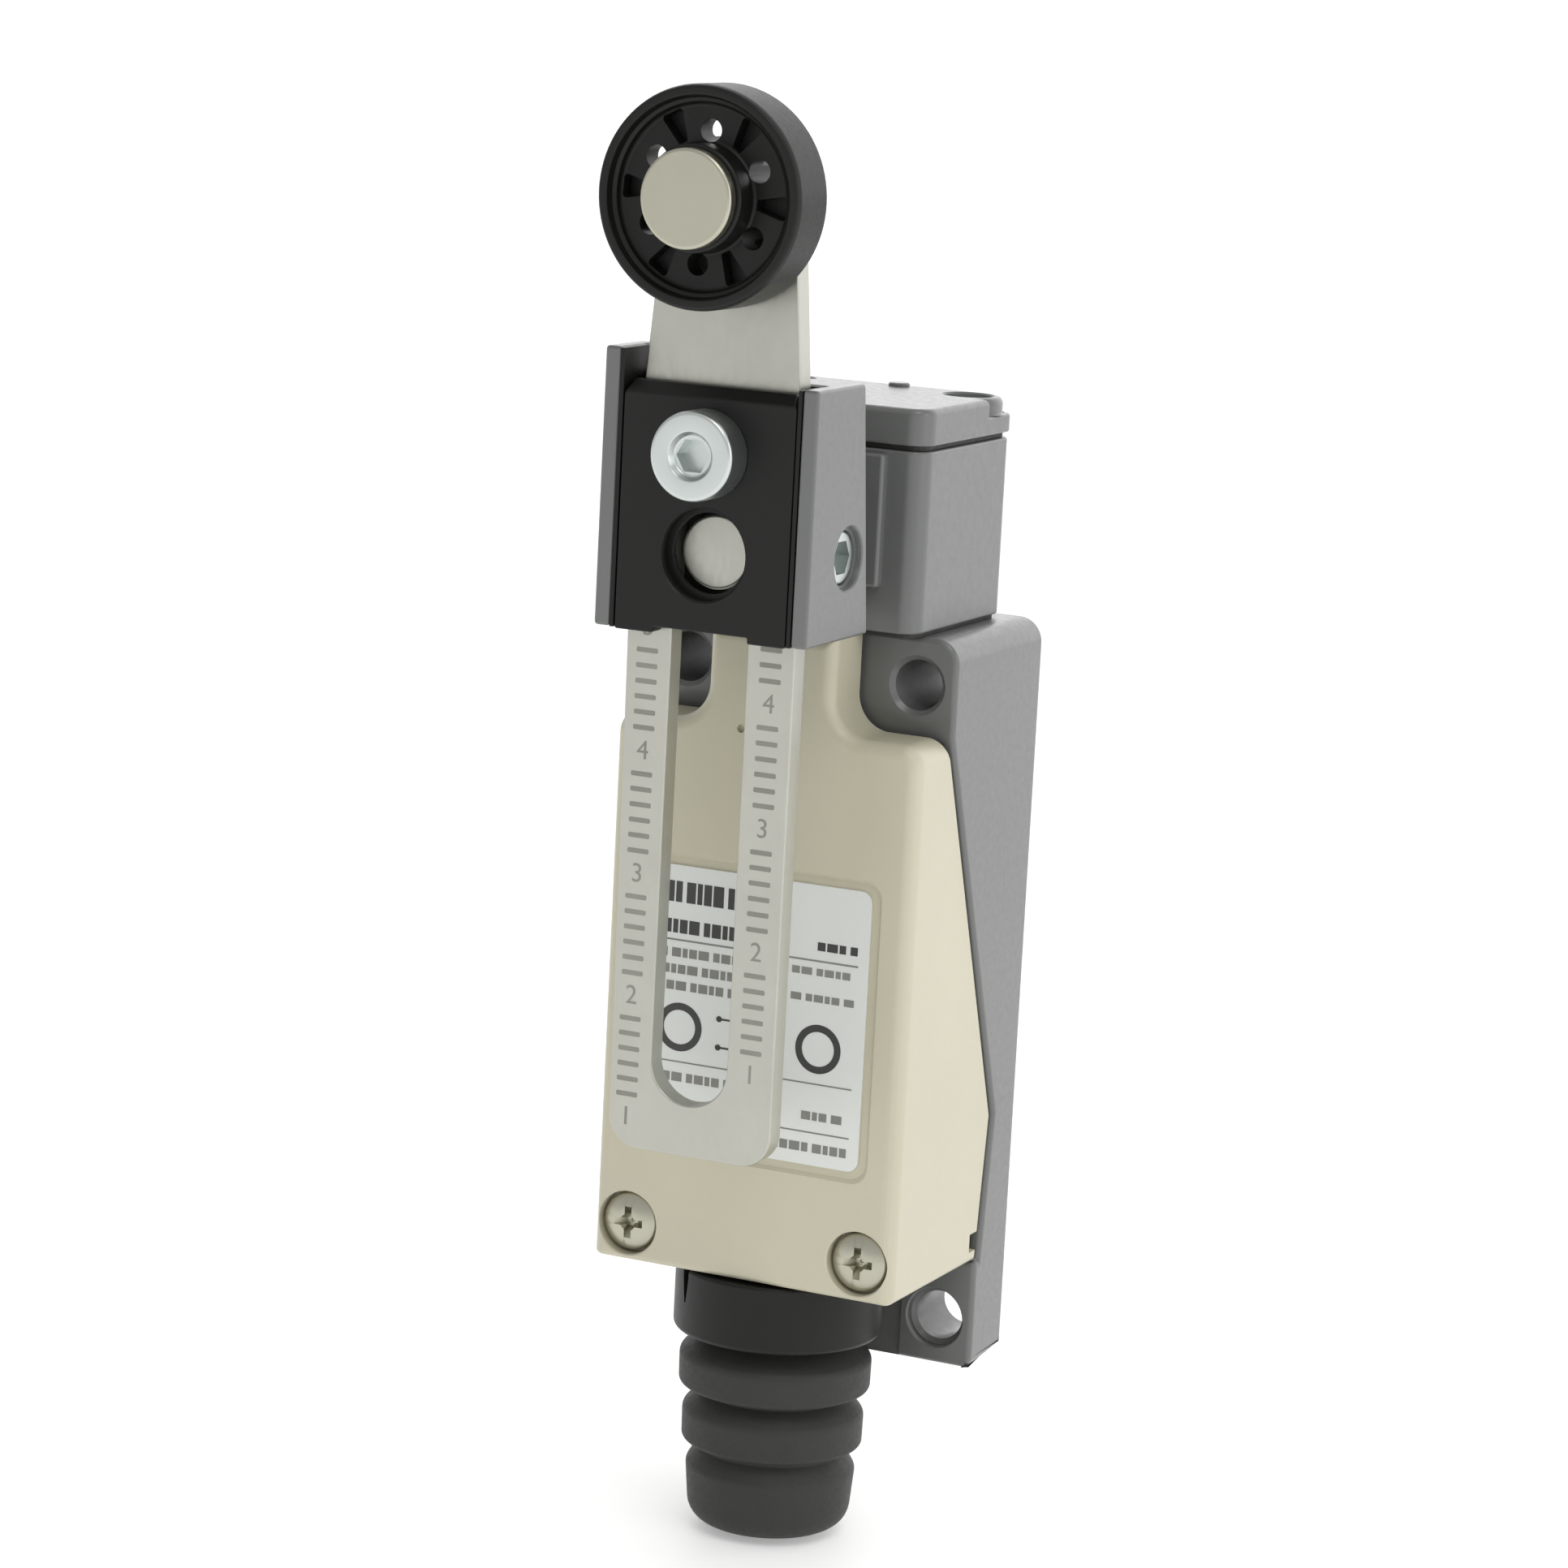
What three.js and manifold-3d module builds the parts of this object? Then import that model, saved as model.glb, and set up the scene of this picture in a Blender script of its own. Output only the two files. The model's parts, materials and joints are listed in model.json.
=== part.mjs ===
// A lever-operated limit switch: a die-cast base with a front cover, a head that
// carries a spring-returned cam shaft, and a slotted roller lever clamped in a holder.
// Millimetres, +Z up. X is across the switch and the front faces -Y. The origin is on
// the back mounting face, midway between the four mounting holes.
import * as THREE from "three";
import { mergeVertices } from "three/addons/utils/BufferGeometryUtils.js";
import Module from "manifold-3d";

const wasm = await Module();
wasm.setup();

// ---------------------------------------------------------------- driving dimensions
const FIT = 0.1; // gap left between pieces that touch
const FAR = 40; // reaches past the case in every direction, for cutting solids

const BASE = {
  width: 28,
  height: 64,
  padFront: -18, // front of the two upper mounting pads
  flangeFront: -6.9, // front of the lower mounting flange
  seamFoot: -6.2, // front of the base where the cover ends, above the flange
  heel: 0.9, // rise of the foot from front to back
  rearCorner: 1.1, // rounding of the upright edges at the back
  relief: { halfWidth: 7.4, depth: 0.4 }, // hollow in the flange behind the gland collar
  kink: [-4.8, -10], // where the sloping parting line turns, as [y, z]
  padFoot: 24, // underside of the upper pads
  wall: 2.2,
  cavityTop: 21.8,
};
const HOLE = { x: 10.5, z: 28, radius: 2.1, counterbore: 2.6, rim: 0.3 };
const COVER = {
  halfWidth: 13.8,
  front: -24,
  bottom: -22.5,
  shoulder: 24,
  top: 32,
  neck: 5.7,
  wall: 1.7,
  seamGap: 0.55,
};
const COVER_SCREW = { x: 10.6, z: -19.3, head: 2.55, shank: 1.3 };
const PORT = {
  y: -15.9,
  radius: 5.2,
  top: -16.6,
  bottom: -20.9,
  front: -21.9,
  back: -5,
  halfWidth: 7.2,
  ears: -20.4, // front of the thinner parts at each side
  earHalfWidth: 11.6,
};
const LABEL = { width: 20.4, height: 23.4, recess: 0.65, thickness: 0.25 };

const HEAD = { width: 22, back: -2.2, front: -20.2, bottom: 32.35, top: 47.2 };
const HEAD_CAVITY = { halfWidth: 6.2, front: -17, back: -5, floor: 34 };
const CAP = { bottom: 47.65, top: 50.65, shelf: 49.2, raisedBack: -7.8, rear: -2.8 };
const CAP_SCREW = { x: 8.2, y: -5.7, boss: 2.9, pocket: 2.15, floor: 48.7, head: 1.9, shank: 1 };
const HEAD_SCREW = { x: 4.3, y: 4.1, head: 1.7, shank: 1.1 };

const SHAFT = {
  z: 39.5,
  radius: 3,
  front: -34.8,
  shoulder: -6.6, // where the shaft steps down to its rear journal
  back: -3.4,
  journal: 2,
  groove: 2.4,
};
const CLIP = { front: -16.85, back: -16.15, radius: 4.1 };
const BUSH = { outer: 4.4, front: -22.6, back: -17.1 };
const BOSS = { radius: 5.9, front: -24.6 };
const CAM = { radius: 5, flat: 3.2, front: -14.6, back: -7.4 };
const FOLLOWER = { y: -11, top: 34.2, cup: 3.8, cupFoot: 31, stem: 1.5, foot: 22 };
const FOLLOWER_BORE = { narrow: 1.9, wide: 4.1, step: 24.5, top: 33 };

const HOLDER = {
  halfWidth: 9.35,
  wall: 1.35,
  front: -37.2,
  backTop: -28.5,
  backBottom: -25.8,
  bottom: 33,
  top: 53.2,
  leftTop: 55.2, // the left cheek stands higher than the right one
  floor: -32.7,
};
const CLAMP_PLATE = { halfWidth: 7.5, back: -35.35, bottom: 32.9, top: 52.7, hole: 3.7 };
const CLAMP_SCREW = {
  z: 47.5,
  head: 3.55,
  front: -40.2,
  shank: 1.9,
  end: -29.4,
  socket: 1.45, // from its centre to a corner of the hexagon
  socketDepth: 1.7,
};
const SET_SCREW = {
  y: -30.1,
  radius: 2.15,
  pocket: 2.55,
  outer: 8.8, // floor of the pocket in the right cheek, as X
  socket: 1.5,
  socketDepth: 1.6,
};

const LEVER = {
  halfWidth: 7.5,
  front: -35.2,
  back: -33.2,
  bottom: -9.5,
  corner: 2.6,
  slot: 3.4,
  shoulderLow: 50.4,
  shoulderHigh: 51.6,
  neck: 6.9, // half width just above the shoulders
  tip: 5.9, // radius of the round top end
  tipDrop: 3, // the round end's centre lies this far below the roller's axis
};
const LEVER_SLOT = { low: -1.9, high: 47.5 }; // centres of the slot's round ends
const ROLLER = { z: 67.5, radius: 8.7, front: -41.1, back: -35.9, rim: 7.3, hub: 4.2 };
const ROLLER_WEB = {
  front: -39.8,
  back: -37.8,
  holes: 6,
  holeAt: 5.15, // distance of each hole from the roller's axis
  holeRadius: 0.9,
  firstHole: 26.5, // degrees up from +X, seen from the front
  pocketFloor: -38.5,
};
const ROLLER_PIN = { head: 3.9, shank: 2.5, front: -43.2, thick: 1.05, tail: 3.4 };

const COLLAR = { radius: 8.8, top: -22.7, bottom: -28.4, shank: 5, bore: 4.2, notchAt: 52.3 };
const GLAND = { bore: 3, mouth: 3.6, top: -17.8, bottom: -45.4 };

const SWITCH = { halfWidth: 9, back: -3, front: -16.9, bottom: -8.5, top: 20 };
const SWITCH_CAVITY = { halfWidth: 7.1, back: -5, bottom: -4, top: 15.6 };
const LID_FRONT = -18.5;
const TERMINAL = { x: 5.6, front: -19.4, back: -9.6, thickness: 0.7 };
const BRIDGE = { z: 5.6, thickness: 0.7, tip: 1 };

const ROUND = 20; // facets round a visible cylinder
const SMALL = 12; // facets round a small or hidden cylinder

// ------------------------------------------------------------------------- materials
const finish = (color, roughness, metalness) =>
  new THREE.MeshStandardMaterial({ color, roughness, metalness });
const MATERIAL = {
  greyPaint: finish(0x8b8e8b, 0.5, 0.2),
  beigePaint: finish(0xc9c3ad, 0.45, 0.2),
  blackPlastic: finish(0x1e1f1f, 0.45, 0),
  rubber: finish(0x2a2b2a, 0.8, 0),
  steel: finish(0xb8b8b2, 0.35, 1),
  zinc: finish(0xc6cbc8, 0.3, 1),
  nickel: finish(0xc7c3ab, 0.25, 1),
  brass: finish(0xb08d4c, 0.35, 1),
  bronze: finish(0x9a6f42, 0.5, 1),
  phenolic: finish(0x3a2a22, 0.5, 0),
  label: finish(0xdcded9, 0.5, 0),
};

// --------------------------------------------------------------------- solid helpers
// A closed geometry as a solid with its faces pointing out.
function solidOf(geometry) {
  const flat = geometry.index ? geometry.toNonIndexed() : geometry;
  const bare = new THREE.BufferGeometry();
  bare.setAttribute("position", flat.getAttribute("position"));
  const merged = mergeVertices(bare, 1e-4);
  const corners = merged.index.array;
  const triangles = [];
  for (let i = 0; i < corners.length; i += 3) {
    const [a, b, c] = corners.slice(i, i + 3);
    if (a !== b && b !== c && c !== a) triangles.push(a, b, c);
  }
  const vertProperties = new Float32Array(merged.attributes.position.array);
  const build = (list) => {
    const triVerts = Uint32Array.from(list);
    return new wasm.Manifold(new wasm.Mesh({ numProp: 3, vertProperties, triVerts }));
  };
  const made = build(triangles);
  return made.volume() < 0 ? build(triangles.reverse()) : made;
}

const join = (first, ...others) => others.reduce((sum, solid) => sum.add(solid), first);
const cut = (first, ...others) => others.reduce((rest, tool) => rest.subtract(tool), first);
const mirrored = (make) => join(make(-1), make(1));

// A block between two values on each axis, given in either order.
function block(x0, x1, y0, y1, z0, z1) {
  const size = [x1 - x0, y1 - y0, z1 - z0].map(Math.abs);
  const geometry = new THREE.BoxGeometry(...size);
  geometry.translate((x0 + x1) / 2, (y0 + y1) / 2, (z0 + z1) / 2);
  return solidOf(geometry);
}

// Turns a geometry that was made along Y so that it lies along the named axis.
function alongAxis(geometry, axis) {
  if (axis === "z") geometry.rotateX(Math.PI / 2);
  if (axis === "x") geometry.rotateZ(-Math.PI / 2);
  return geometry;
}

// Moves a geometry to a centre given by the two coordinates across the axis.
function placeAcross(geometry, axis, [a, b]) {
  if (axis === "x") geometry.translate(0, a, b);
  if (axis === "y") geometry.translate(a, 0, b);
  if (axis === "z") geometry.translate(a, b, 0);
  return geometry;
}

// A solid of revolution. The profile lists [radius, distance along the axis].
function turned(axis, centre, profile, facets = ROUND) {
  const points = profile.map(([radius, along]) => new THREE.Vector2(radius, along));
  const geometry = alongAxis(new THREE.LatheGeometry(points, facets), axis);
  return solidOf(placeAcross(geometry, axis, centre));
}

function rod(axis, centre, radius, from, to, facets = ROUND) {
  const profile = [[0, from], [radius, from], [radius, to], [0, to]];
  return turned(axis, centre, profile, facets);
}

function tube(axis, centre, inner, outer, from, to, facets = ROUND) {
  const profile = [[inner, from], [outer, from], [outer, to], [inner, to], [inner, from]];
  return turned(axis, centre, profile, facets);
}

// An outline pushed along an axis. The outline lies in (x, z) for "y", (y, z) for "x"
// and (x, y) for "z"; edge rounds the edges of both end faces, and detail sets how
// finely its round stretches are divided.
function prism(axis, shape, from, to, edge = 0, detail = 2) {
  const low = Math.min(from, to);
  const high = Math.max(from, to);
  const geometry = new THREE.ExtrudeGeometry(shape, {
    depth: high - low - 2 * edge,
    bevelEnabled: edge > 0,
    bevelThickness: edge,
    bevelSize: edge,
    bevelOffset: -edge,
    bevelSegments: 2,
    curveSegments: detail,
    steps: 1,
  });
  geometry.translate(0, 0, low + edge);
  const basis = new THREE.Matrix4();
  const [X, Y, Z] = [
    new THREE.Vector3(1, 0, 0),
    new THREE.Vector3(0, 1, 0),
    new THREE.Vector3(0, 0, 1),
  ];
  if (axis === "x") geometry.applyMatrix4(basis.makeBasis(Y, Z, X));
  if (axis === "y") {
    geometry.translate(0, 0, -low - high);
    geometry.applyMatrix4(basis.makeBasis(X, Z, Y.negate()));
  }
  return solidOf(geometry);
}

function polygon(points) {
  return new THREE.Shape(points.map(([a, b]) => new THREE.Vector2(a, b)));
}

// A rectangle with round corners; the radii run from bottom left, anticlockwise.
function roundedRect(a0, a1, b0, b1, radii) {
  const [r0, r1, r2, r3] = Array.isArray(radii) ? radii : [radii, radii, radii, radii];
  const shape = new THREE.Shape();
  shape.moveTo(a0 + r0, b0);
  shape.lineTo(a1 - r1, b0);
  shape.absarc(a1 - r1, b0 + r1, r1, -Math.PI / 2, 0, false);
  shape.lineTo(a1, b1 - r2);
  shape.absarc(a1 - r2, b1 - r2, r2, 0, Math.PI / 2, false);
  shape.lineTo(a0 + r3, b1);
  shape.absarc(a0 + r3, b1 - r3, r3, Math.PI / 2, Math.PI, false);
  shape.lineTo(a0, b0 + r0);
  shape.absarc(a0 + r0, b0 + r0, r0, Math.PI, 1.5 * Math.PI, false);
  return shape;
}

// An upright slot shape between two round ends.
function slotShape(halfWidth, low, high) {
  const shape = new THREE.Shape();
  shape.absarc(0, low, halfWidth, Math.PI, 2 * Math.PI, false);
  shape.absarc(0, high, halfWidth, 0, Math.PI, false);
  return shape;
}

function hexagon(corner) {
  const point = (k) => [corner * Math.cos((k * Math.PI) / 3), corner * Math.sin((k * Math.PI) / 3)];
  return polygon([0, 1, 2, 3, 4, 5].map(point));
}

// A close-coiled wire spring on an upright axis.
function spring(x, y, radius, wire, low, high, turns) {
  class Helix extends THREE.Curve {
    getPoint(t) {
      const angle = 2 * Math.PI * turns * t;
      const height = low + wire + (high - low - 2 * wire) * t;
      return new THREE.Vector3(x + radius * Math.cos(angle), y + radius * Math.sin(angle), height);
    }
  }
  const section = new THREE.Shape().absarc(0, 0, wire, 0, 2 * Math.PI, false);
  const options = { steps: 10 * turns, extrudePath: new Helix(), curveSegments: 2 };
  return solidOf(new THREE.ExtrudeGeometry(section, options));
}

// ---------------------------------------------------------------------- the assembly
const limitSwitch = new THREE.Group();

function add(name, solid, material) {
  const { vertProperties, triVerts } = solid.getMesh();
  const geometry = new THREE.BufferGeometry();
  geometry.setAttribute("position", new THREE.BufferAttribute(vertProperties, 3));
  geometry.setIndex(new THREE.BufferAttribute(triVerts, 1));
  const mesh = new THREE.Mesh(geometry, material);
  mesh.name = name;
  limitSwitch.add(mesh);
}

// ------------------------------------------------------------------- base and cover
// The parting line between base and cover seen from the side, from bottom to top.
function seamLine(gap, foot) {
  return [
    [BASE.seamFoot - gap, foot],
    [BASE.seamFoot - gap, COVER.bottom],
    [BASE.kink[0] - gap, BASE.kink[1]],
    [BASE.padFront - gap, BASE.padFoot],
    [BASE.padFront - gap, FAR],
  ];
}

function makeBase() {
  const half = BASE.width / 2;
  const tall = BASE.height / 2;
  const ledge = COVER.bottom - FIT;
  const side = polygon([
    [0, FAR],
    [0, -tall + BASE.heel],
    [BASE.flangeFront, -tall],
    [BASE.flangeFront, ledge],
    ...seamLine(0, ledge),
  ]);
  const face = roundedRect(-half, half, -tall, tall, [0.8, 0.8, 2, 2]);
  const plan = roundedRect(-half, half, -FAR, 0, [0, 0, BASE.rearCorner, BASE.rearCorner]);
  const outside = prism("x", side, -half, half)
    .intersect(prism("y", face, 1, -FAR))
    .intersect(prism("z", plan, -FAR, FAR));
  const inner = half - BASE.wall;
  const cavity = block(-inner, inner, -FAR, -BASE.wall, PORT.top, BASE.cavityTop);
  const portBlock = join(
    block(-PORT.earHalfWidth, PORT.earHalfWidth, PORT.ears, PORT.back, PORT.bottom, PORT.top),
    block(-PORT.halfWidth, PORT.halfWidth, PORT.front, PORT.back, PORT.bottom, PORT.top),
  );
  const standoffs = SWITCH_SCREWS.map(([x, z]) => rod("y", [x, z], 2.4, -SWITCH_GAP, -2, SMALL));
  const earthBoss = rod("y", EARTH_AT, 3, -3.4, -2, SMALL);
  const upperHoles = mirrored((side) =>
    turned("y", [side * HOLE.x, HOLE.z], [
      [0, -FAR],
      [HOLE.radius + HOLE.rim, -FAR],
      [HOLE.radius + HOLE.rim, BASE.padFront],
      [HOLE.radius, BASE.padFront + HOLE.rim],
      [HOLE.radius, 2],
      [0, 2],
    ]),
  );
  const lowerHoles = mirrored((side) =>
    turned("y", [side * HOLE.x, -HOLE.z], [
      [0, -FAR],
      [HOLE.counterbore, -FAR],
      [HOLE.counterbore, BASE.flangeFront + 0.8],
      [HOLE.radius, BASE.flangeFront + 1.2],
      [HOLE.radius, 2],
      [0, 2],
    ]),
  );
  const { narrow, wide, step, top } = FOLLOWER_BORE;
  const plungerBore = turned("z", [0, FOLLOWER.y], [
    [0, BASE.cavityTop - 2],
    [narrow, BASE.cavityTop - 2],
    [narrow, step],
    [wide, step],
    [wide, top],
    [0, top],
  ]);
  const port = rod("z", [0, PORT.y], PORT.radius, -22, -16);
  const screwHoles = mirrored((side) =>
    rod("y", [side * COVER_SCREW.x, COVER_SCREW.z], COVER_SCREW.shank + FIT, -30, -9, SMALL),
  );
  const headScrewHoles = HEAD_SCREWS.map((at) => rod("z", at, 1.2, 25.5, 33, SMALL));
  const blindHoles = [...SWITCH_SCREWS, EARTH_AT].map((at) => rod("y", at, 1.2, -6, -1.1, SMALL));
  const walls = join(cut(outside, cavity), portBlock, ...standoffs, earthBoss);
  const { halfWidth, depth } = BASE.relief;
  const relief = block(-halfWidth, halfWidth, -30, BASE.flangeFront + depth, -tall - 1, ledge);
  const tools = [upperHoles, lowerHoles, plungerBore, port, screwHoles, relief];
  return cut(walls, ...tools, ...headScrewHoles, ...blindHoles);
}

// The cover's outline from the front: square shoulders and a narrow neck between them.
function coverOutline() {
  const { halfWidth, bottom, shoulder, top, neck } = COVER;
  const corner = 1.2;
  const fillet = 3;
  const shape = new THREE.Shape();
  shape.moveTo(-halfWidth, bottom);
  shape.lineTo(halfWidth, bottom);
  shape.lineTo(halfWidth, shoulder - corner);
  shape.absarc(halfWidth - corner, shoulder - corner, corner, 0, Math.PI / 2, false);
  shape.lineTo(neck + fillet, shoulder);
  shape.absarc(neck + fillet, shoulder + fillet, fillet, 1.5 * Math.PI, Math.PI, true);
  shape.lineTo(neck, top);
  shape.lineTo(-neck, top);
  shape.lineTo(-neck, shoulder + fillet);
  shape.absarc(-neck - fillet, shoulder + fillet, fillet, 2 * Math.PI, 1.5 * Math.PI, true);
  shape.lineTo(-halfWidth + corner, shoulder);
  shape.absarc(-halfWidth + corner, shoulder - corner, corner, Math.PI / 2, Math.PI, false);
  return shape;
}

function makeCover() {
  const { front, bottom, wall, seamGap } = COVER;
  const outside = prism("y", coverOutline(), 1, front, 1);
  const behindSeam = prism("x", polygon([[9, FAR], [9, -FAR], ...seamLine(seamGap, -FAR)]), -20, 20);
  const inside = COVER.halfWidth - wall;
  const skin = front + wall;
  const cavities = [
    block(-inside, inside, skin, 5, PORT.top + 0.4, 22.4),
    block(-4, 4, skin, 5, 20, 30.3),
    block(-inside, inside, PORT.ears - 0.3, 5, bottom + 1.5, PORT.top + 0.5),
    block(-7.6, 7.6, skin, 5, bottom + 1.5, PORT.top + 0.5),
  ];
  const portSlot = join(
    rod("z", [0, PORT.y], COLLAR.shank + 0.4, bottom - 1, bottom + 2),
    block(-COLLAR.shank - 0.4, COLLAR.shank + 0.4, PORT.y, 5, bottom - 1, bottom + 2),
  );
  const screwSeats = mirrored((side) =>
    turned("y", [side * COVER_SCREW.x, COVER_SCREW.z], [
      [0, front - 1],
      [COVER_SCREW.head + 0.2, front - 1],
      [COVER_SCREW.head + 0.2, front + 1.6],
      [COVER_SCREW.shank + 0.3, front + 1.6],
      [COVER_SCREW.shank + 0.3, front + 5],
      [0, front + 5],
    ]),
  );
  const labelSeat = prism(
    "y",
    roundedRect(
      -LABEL.width / 2 - LABEL.recess,
      LABEL.width / 2 + LABEL.recess,
      -LABEL.height / 2 - LABEL.recess,
      LABEL.height / 2 + LABEL.recess,
      1.6,
    ),
    front + LABEL.thickness + 0.15,
    front - 1,
  );
  const neckSlot = prism("y", slotShape(1.9, 27.2, 28.6), front + 1, front - 1);
  const dimples = mirrored((side) => rod("y", [side * 2.3, 23.7], 0.35, front - 1, front + 0.3, 8));
  const pryNotches = mirrored((side) =>
    block(side * 12.9, side * 15, -7.9, -5, bottom + 1, bottom + 2.6),
  );
  const shell = cut(outside, behindSeam, ...cavities, portSlot);
  return cut(shell, screwSeats, labelSeat, neckSlot, dimples, pryNotches);
}

function makeCoverGasket() {
  const near = seamLine(0.04, -FAR);
  const far = seamLine(COVER.seamGap - 0.04, -FAR).reverse();
  const band = prism("x", polygon([...near, ...far]), -13.1, 13.1);
  const frame = block(-13.1, 13.1, -30, 5, COVER.bottom + 0.3, 23.5);
  return cut(band.intersect(frame), block(-12, 12, -30, 5, COVER.bottom + 1.5, 22.3));
}

// A cross-recessed screw lying along Y with its head towards the front.
function crossScrew([x, z], head, shank, headFront, headBack, end) {
  const dome = 0.5;
  const body = turned("y", [x, z], [
    [0, headFront],
    [head * 0.6, headFront + 0.1],
    [head, headFront + dome],
    [head, headBack],
    [shank, headBack],
    [shank, end],
    [0, end],
  ], SMALL);
  const long = head * 0.58;
  const thin = head * 0.13;
  const recess = join(
    block(x - long, x + long, headFront - 1, headFront + 1, z - thin, z + thin),
    block(x - thin, x + thin, headFront - 1, headFront + 1, z - long, z + long),
  );
  return cut(body, recess);
}

function addBaseAndCover() {
  add("base", makeBase(), MATERIAL.greyPaint);
  add("cover", makeCover(), MATERIAL.beigePaint);
  add("cover_gasket", makeCoverGasket(), MATERIAL.rubber);
  for (const [name, side] of [["left", -1], ["right", 1]]) {
    const at = [side * COVER_SCREW.x, COVER_SCREW.z];
    const { head, shank } = COVER_SCREW;
    const screw = crossScrew(at, head, shank, COVER.front + 0.1, COVER.front + 1.5, -10.5);
    add("cover_screw_" + name, screw, MATERIAL.nickel);
  }
  const { width, height, thickness } = LABEL;
  const sheet = roundedRect(-width / 2, width / 2, -height / 2, height / 2, 1);
  const back = COVER.front + 0.1 + thickness;
  add("rating_label", prism("y", sheet, back, back - thickness), MATERIAL.label);
}

// -------------------------------------------------------------------------- the head
const HEAD_SCREWS = [[-1, -1], [1, -1], [-1, 1], [1, 1]].map(([a, b]) => [
  a * HEAD_SCREW.x,
  FOLLOWER.y + b * HEAD_SCREW.y,
]);

function headPlan(grow, radius) {
  const half = HEAD.width / 2 + grow;
  return roundedRect(-half, half, HEAD.front - grow, HEAD.back + grow, radius);
}

function makeHead() {
  const { halfWidth, front, back, floor } = HEAD_CAVITY;
  const body = prism("z", headPlan(0, 1.6), HEAD.bottom, HEAD.top);
  const pad = block(-7.8, 7.8, HEAD.front - 0.9, HEAD.front + 1, 34.6, HEAD.top - 0.3);
  const boss = rod("y", [0, SHAFT.z], BOSS.radius, BOSS.front, HEAD.front + 1);
  const cavity = block(-halfWidth, halfWidth, front, back, floor, HEAD.top + 1);
  const bushBore = rod("y", [0, SHAFT.z], BUSH.outer + 0.05, BOSS.front - 1, front + 1);
  const journal = rod("y", [0, SHAFT.z], SHAFT.journal + 0.12, back - 1, SHAFT.back + 0.3);
  const plunger = rod("z", [0, FOLLOWER.y], 4.2, HEAD.bottom - 1, floor + 1);
  const screws = HEAD_SCREWS.map((at) => rod("z", at, 1.2, HEAD.bottom - 1, floor + 1, SMALL));
  const capScrews = mirrored((side) =>
    rod("z", [side * CAP_SCREW.x, CAP_SCREW.y], CAP_SCREW.shank + FIT, 39.5, HEAD.top + 1, SMALL),
  );
  const solid = join(body, pad, boss);
  return cut(solid, cavity, bushBore, journal, plunger, ...screws, capScrews);
}

// The cap drops to a shelf behind, and a round boss stands about each screw pocket.
function makeCap() {
  const { bottom, top, shelf, raisedBack, rear } = CAP;
  const { x, y, boss, pocket, floor, shank } = CAP_SCREW;
  const high = top + 4;
  const slab = prism("z", headPlan(0.15, 1.8), bottom - 3, top, 0.6);
  const below = block(-20, 20, -30, 5, bottom - 4, bottom);
  const corners = mirrored((side) => {
    const whole = block(side * x, side * 13, raisedBack, 3, shelf, high);
    const web = block(side * (x - 1), side * 10.3, raisedBack - 1, y, shelf - 1, high);
    return cut(whole, web, rod("z", [side * x, y], boss, shelf - 1, high));
  });
  const back = block(-x, x, rear, 3, shelf, high);
  const pockets = mirrored((side) => rod("z", [side * x, y], pocket, floor, high, 20));
  const holes = mirrored((side) => rod("z", [side * x, y], shank + FIT, bottom - 1, high, SMALL));
  const button = rod("z", [1.2, -4.2], 0.9, top - 0.1, top + 0.3, SMALL);
  return join(cut(slab, below, corners, back, pockets, holes), button);
}

function makeSheetSeal(low, high, holes) {
  const outside = prism("z", headPlan(-0.4, 1.3), low, high);
  return cut(outside, ...holes);
}

// A slotted pan-head screw standing upright.
function uprightScrew([x, y], head, shank, headLow, headHigh, foot) {
  const body = turned("z", [x, y], [
    [0, foot],
    [shank, foot],
    [shank, headLow],
    [head, headLow],
    [head, headHigh - 0.3],
    [head - 0.4, headHigh],
    [0, headHigh],
  ], SMALL);
  return cut(body, block(x - head - 1, x + head + 1, y - 0.3, y + 0.3, headHigh - 0.6, headHigh + 1));
}

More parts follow.
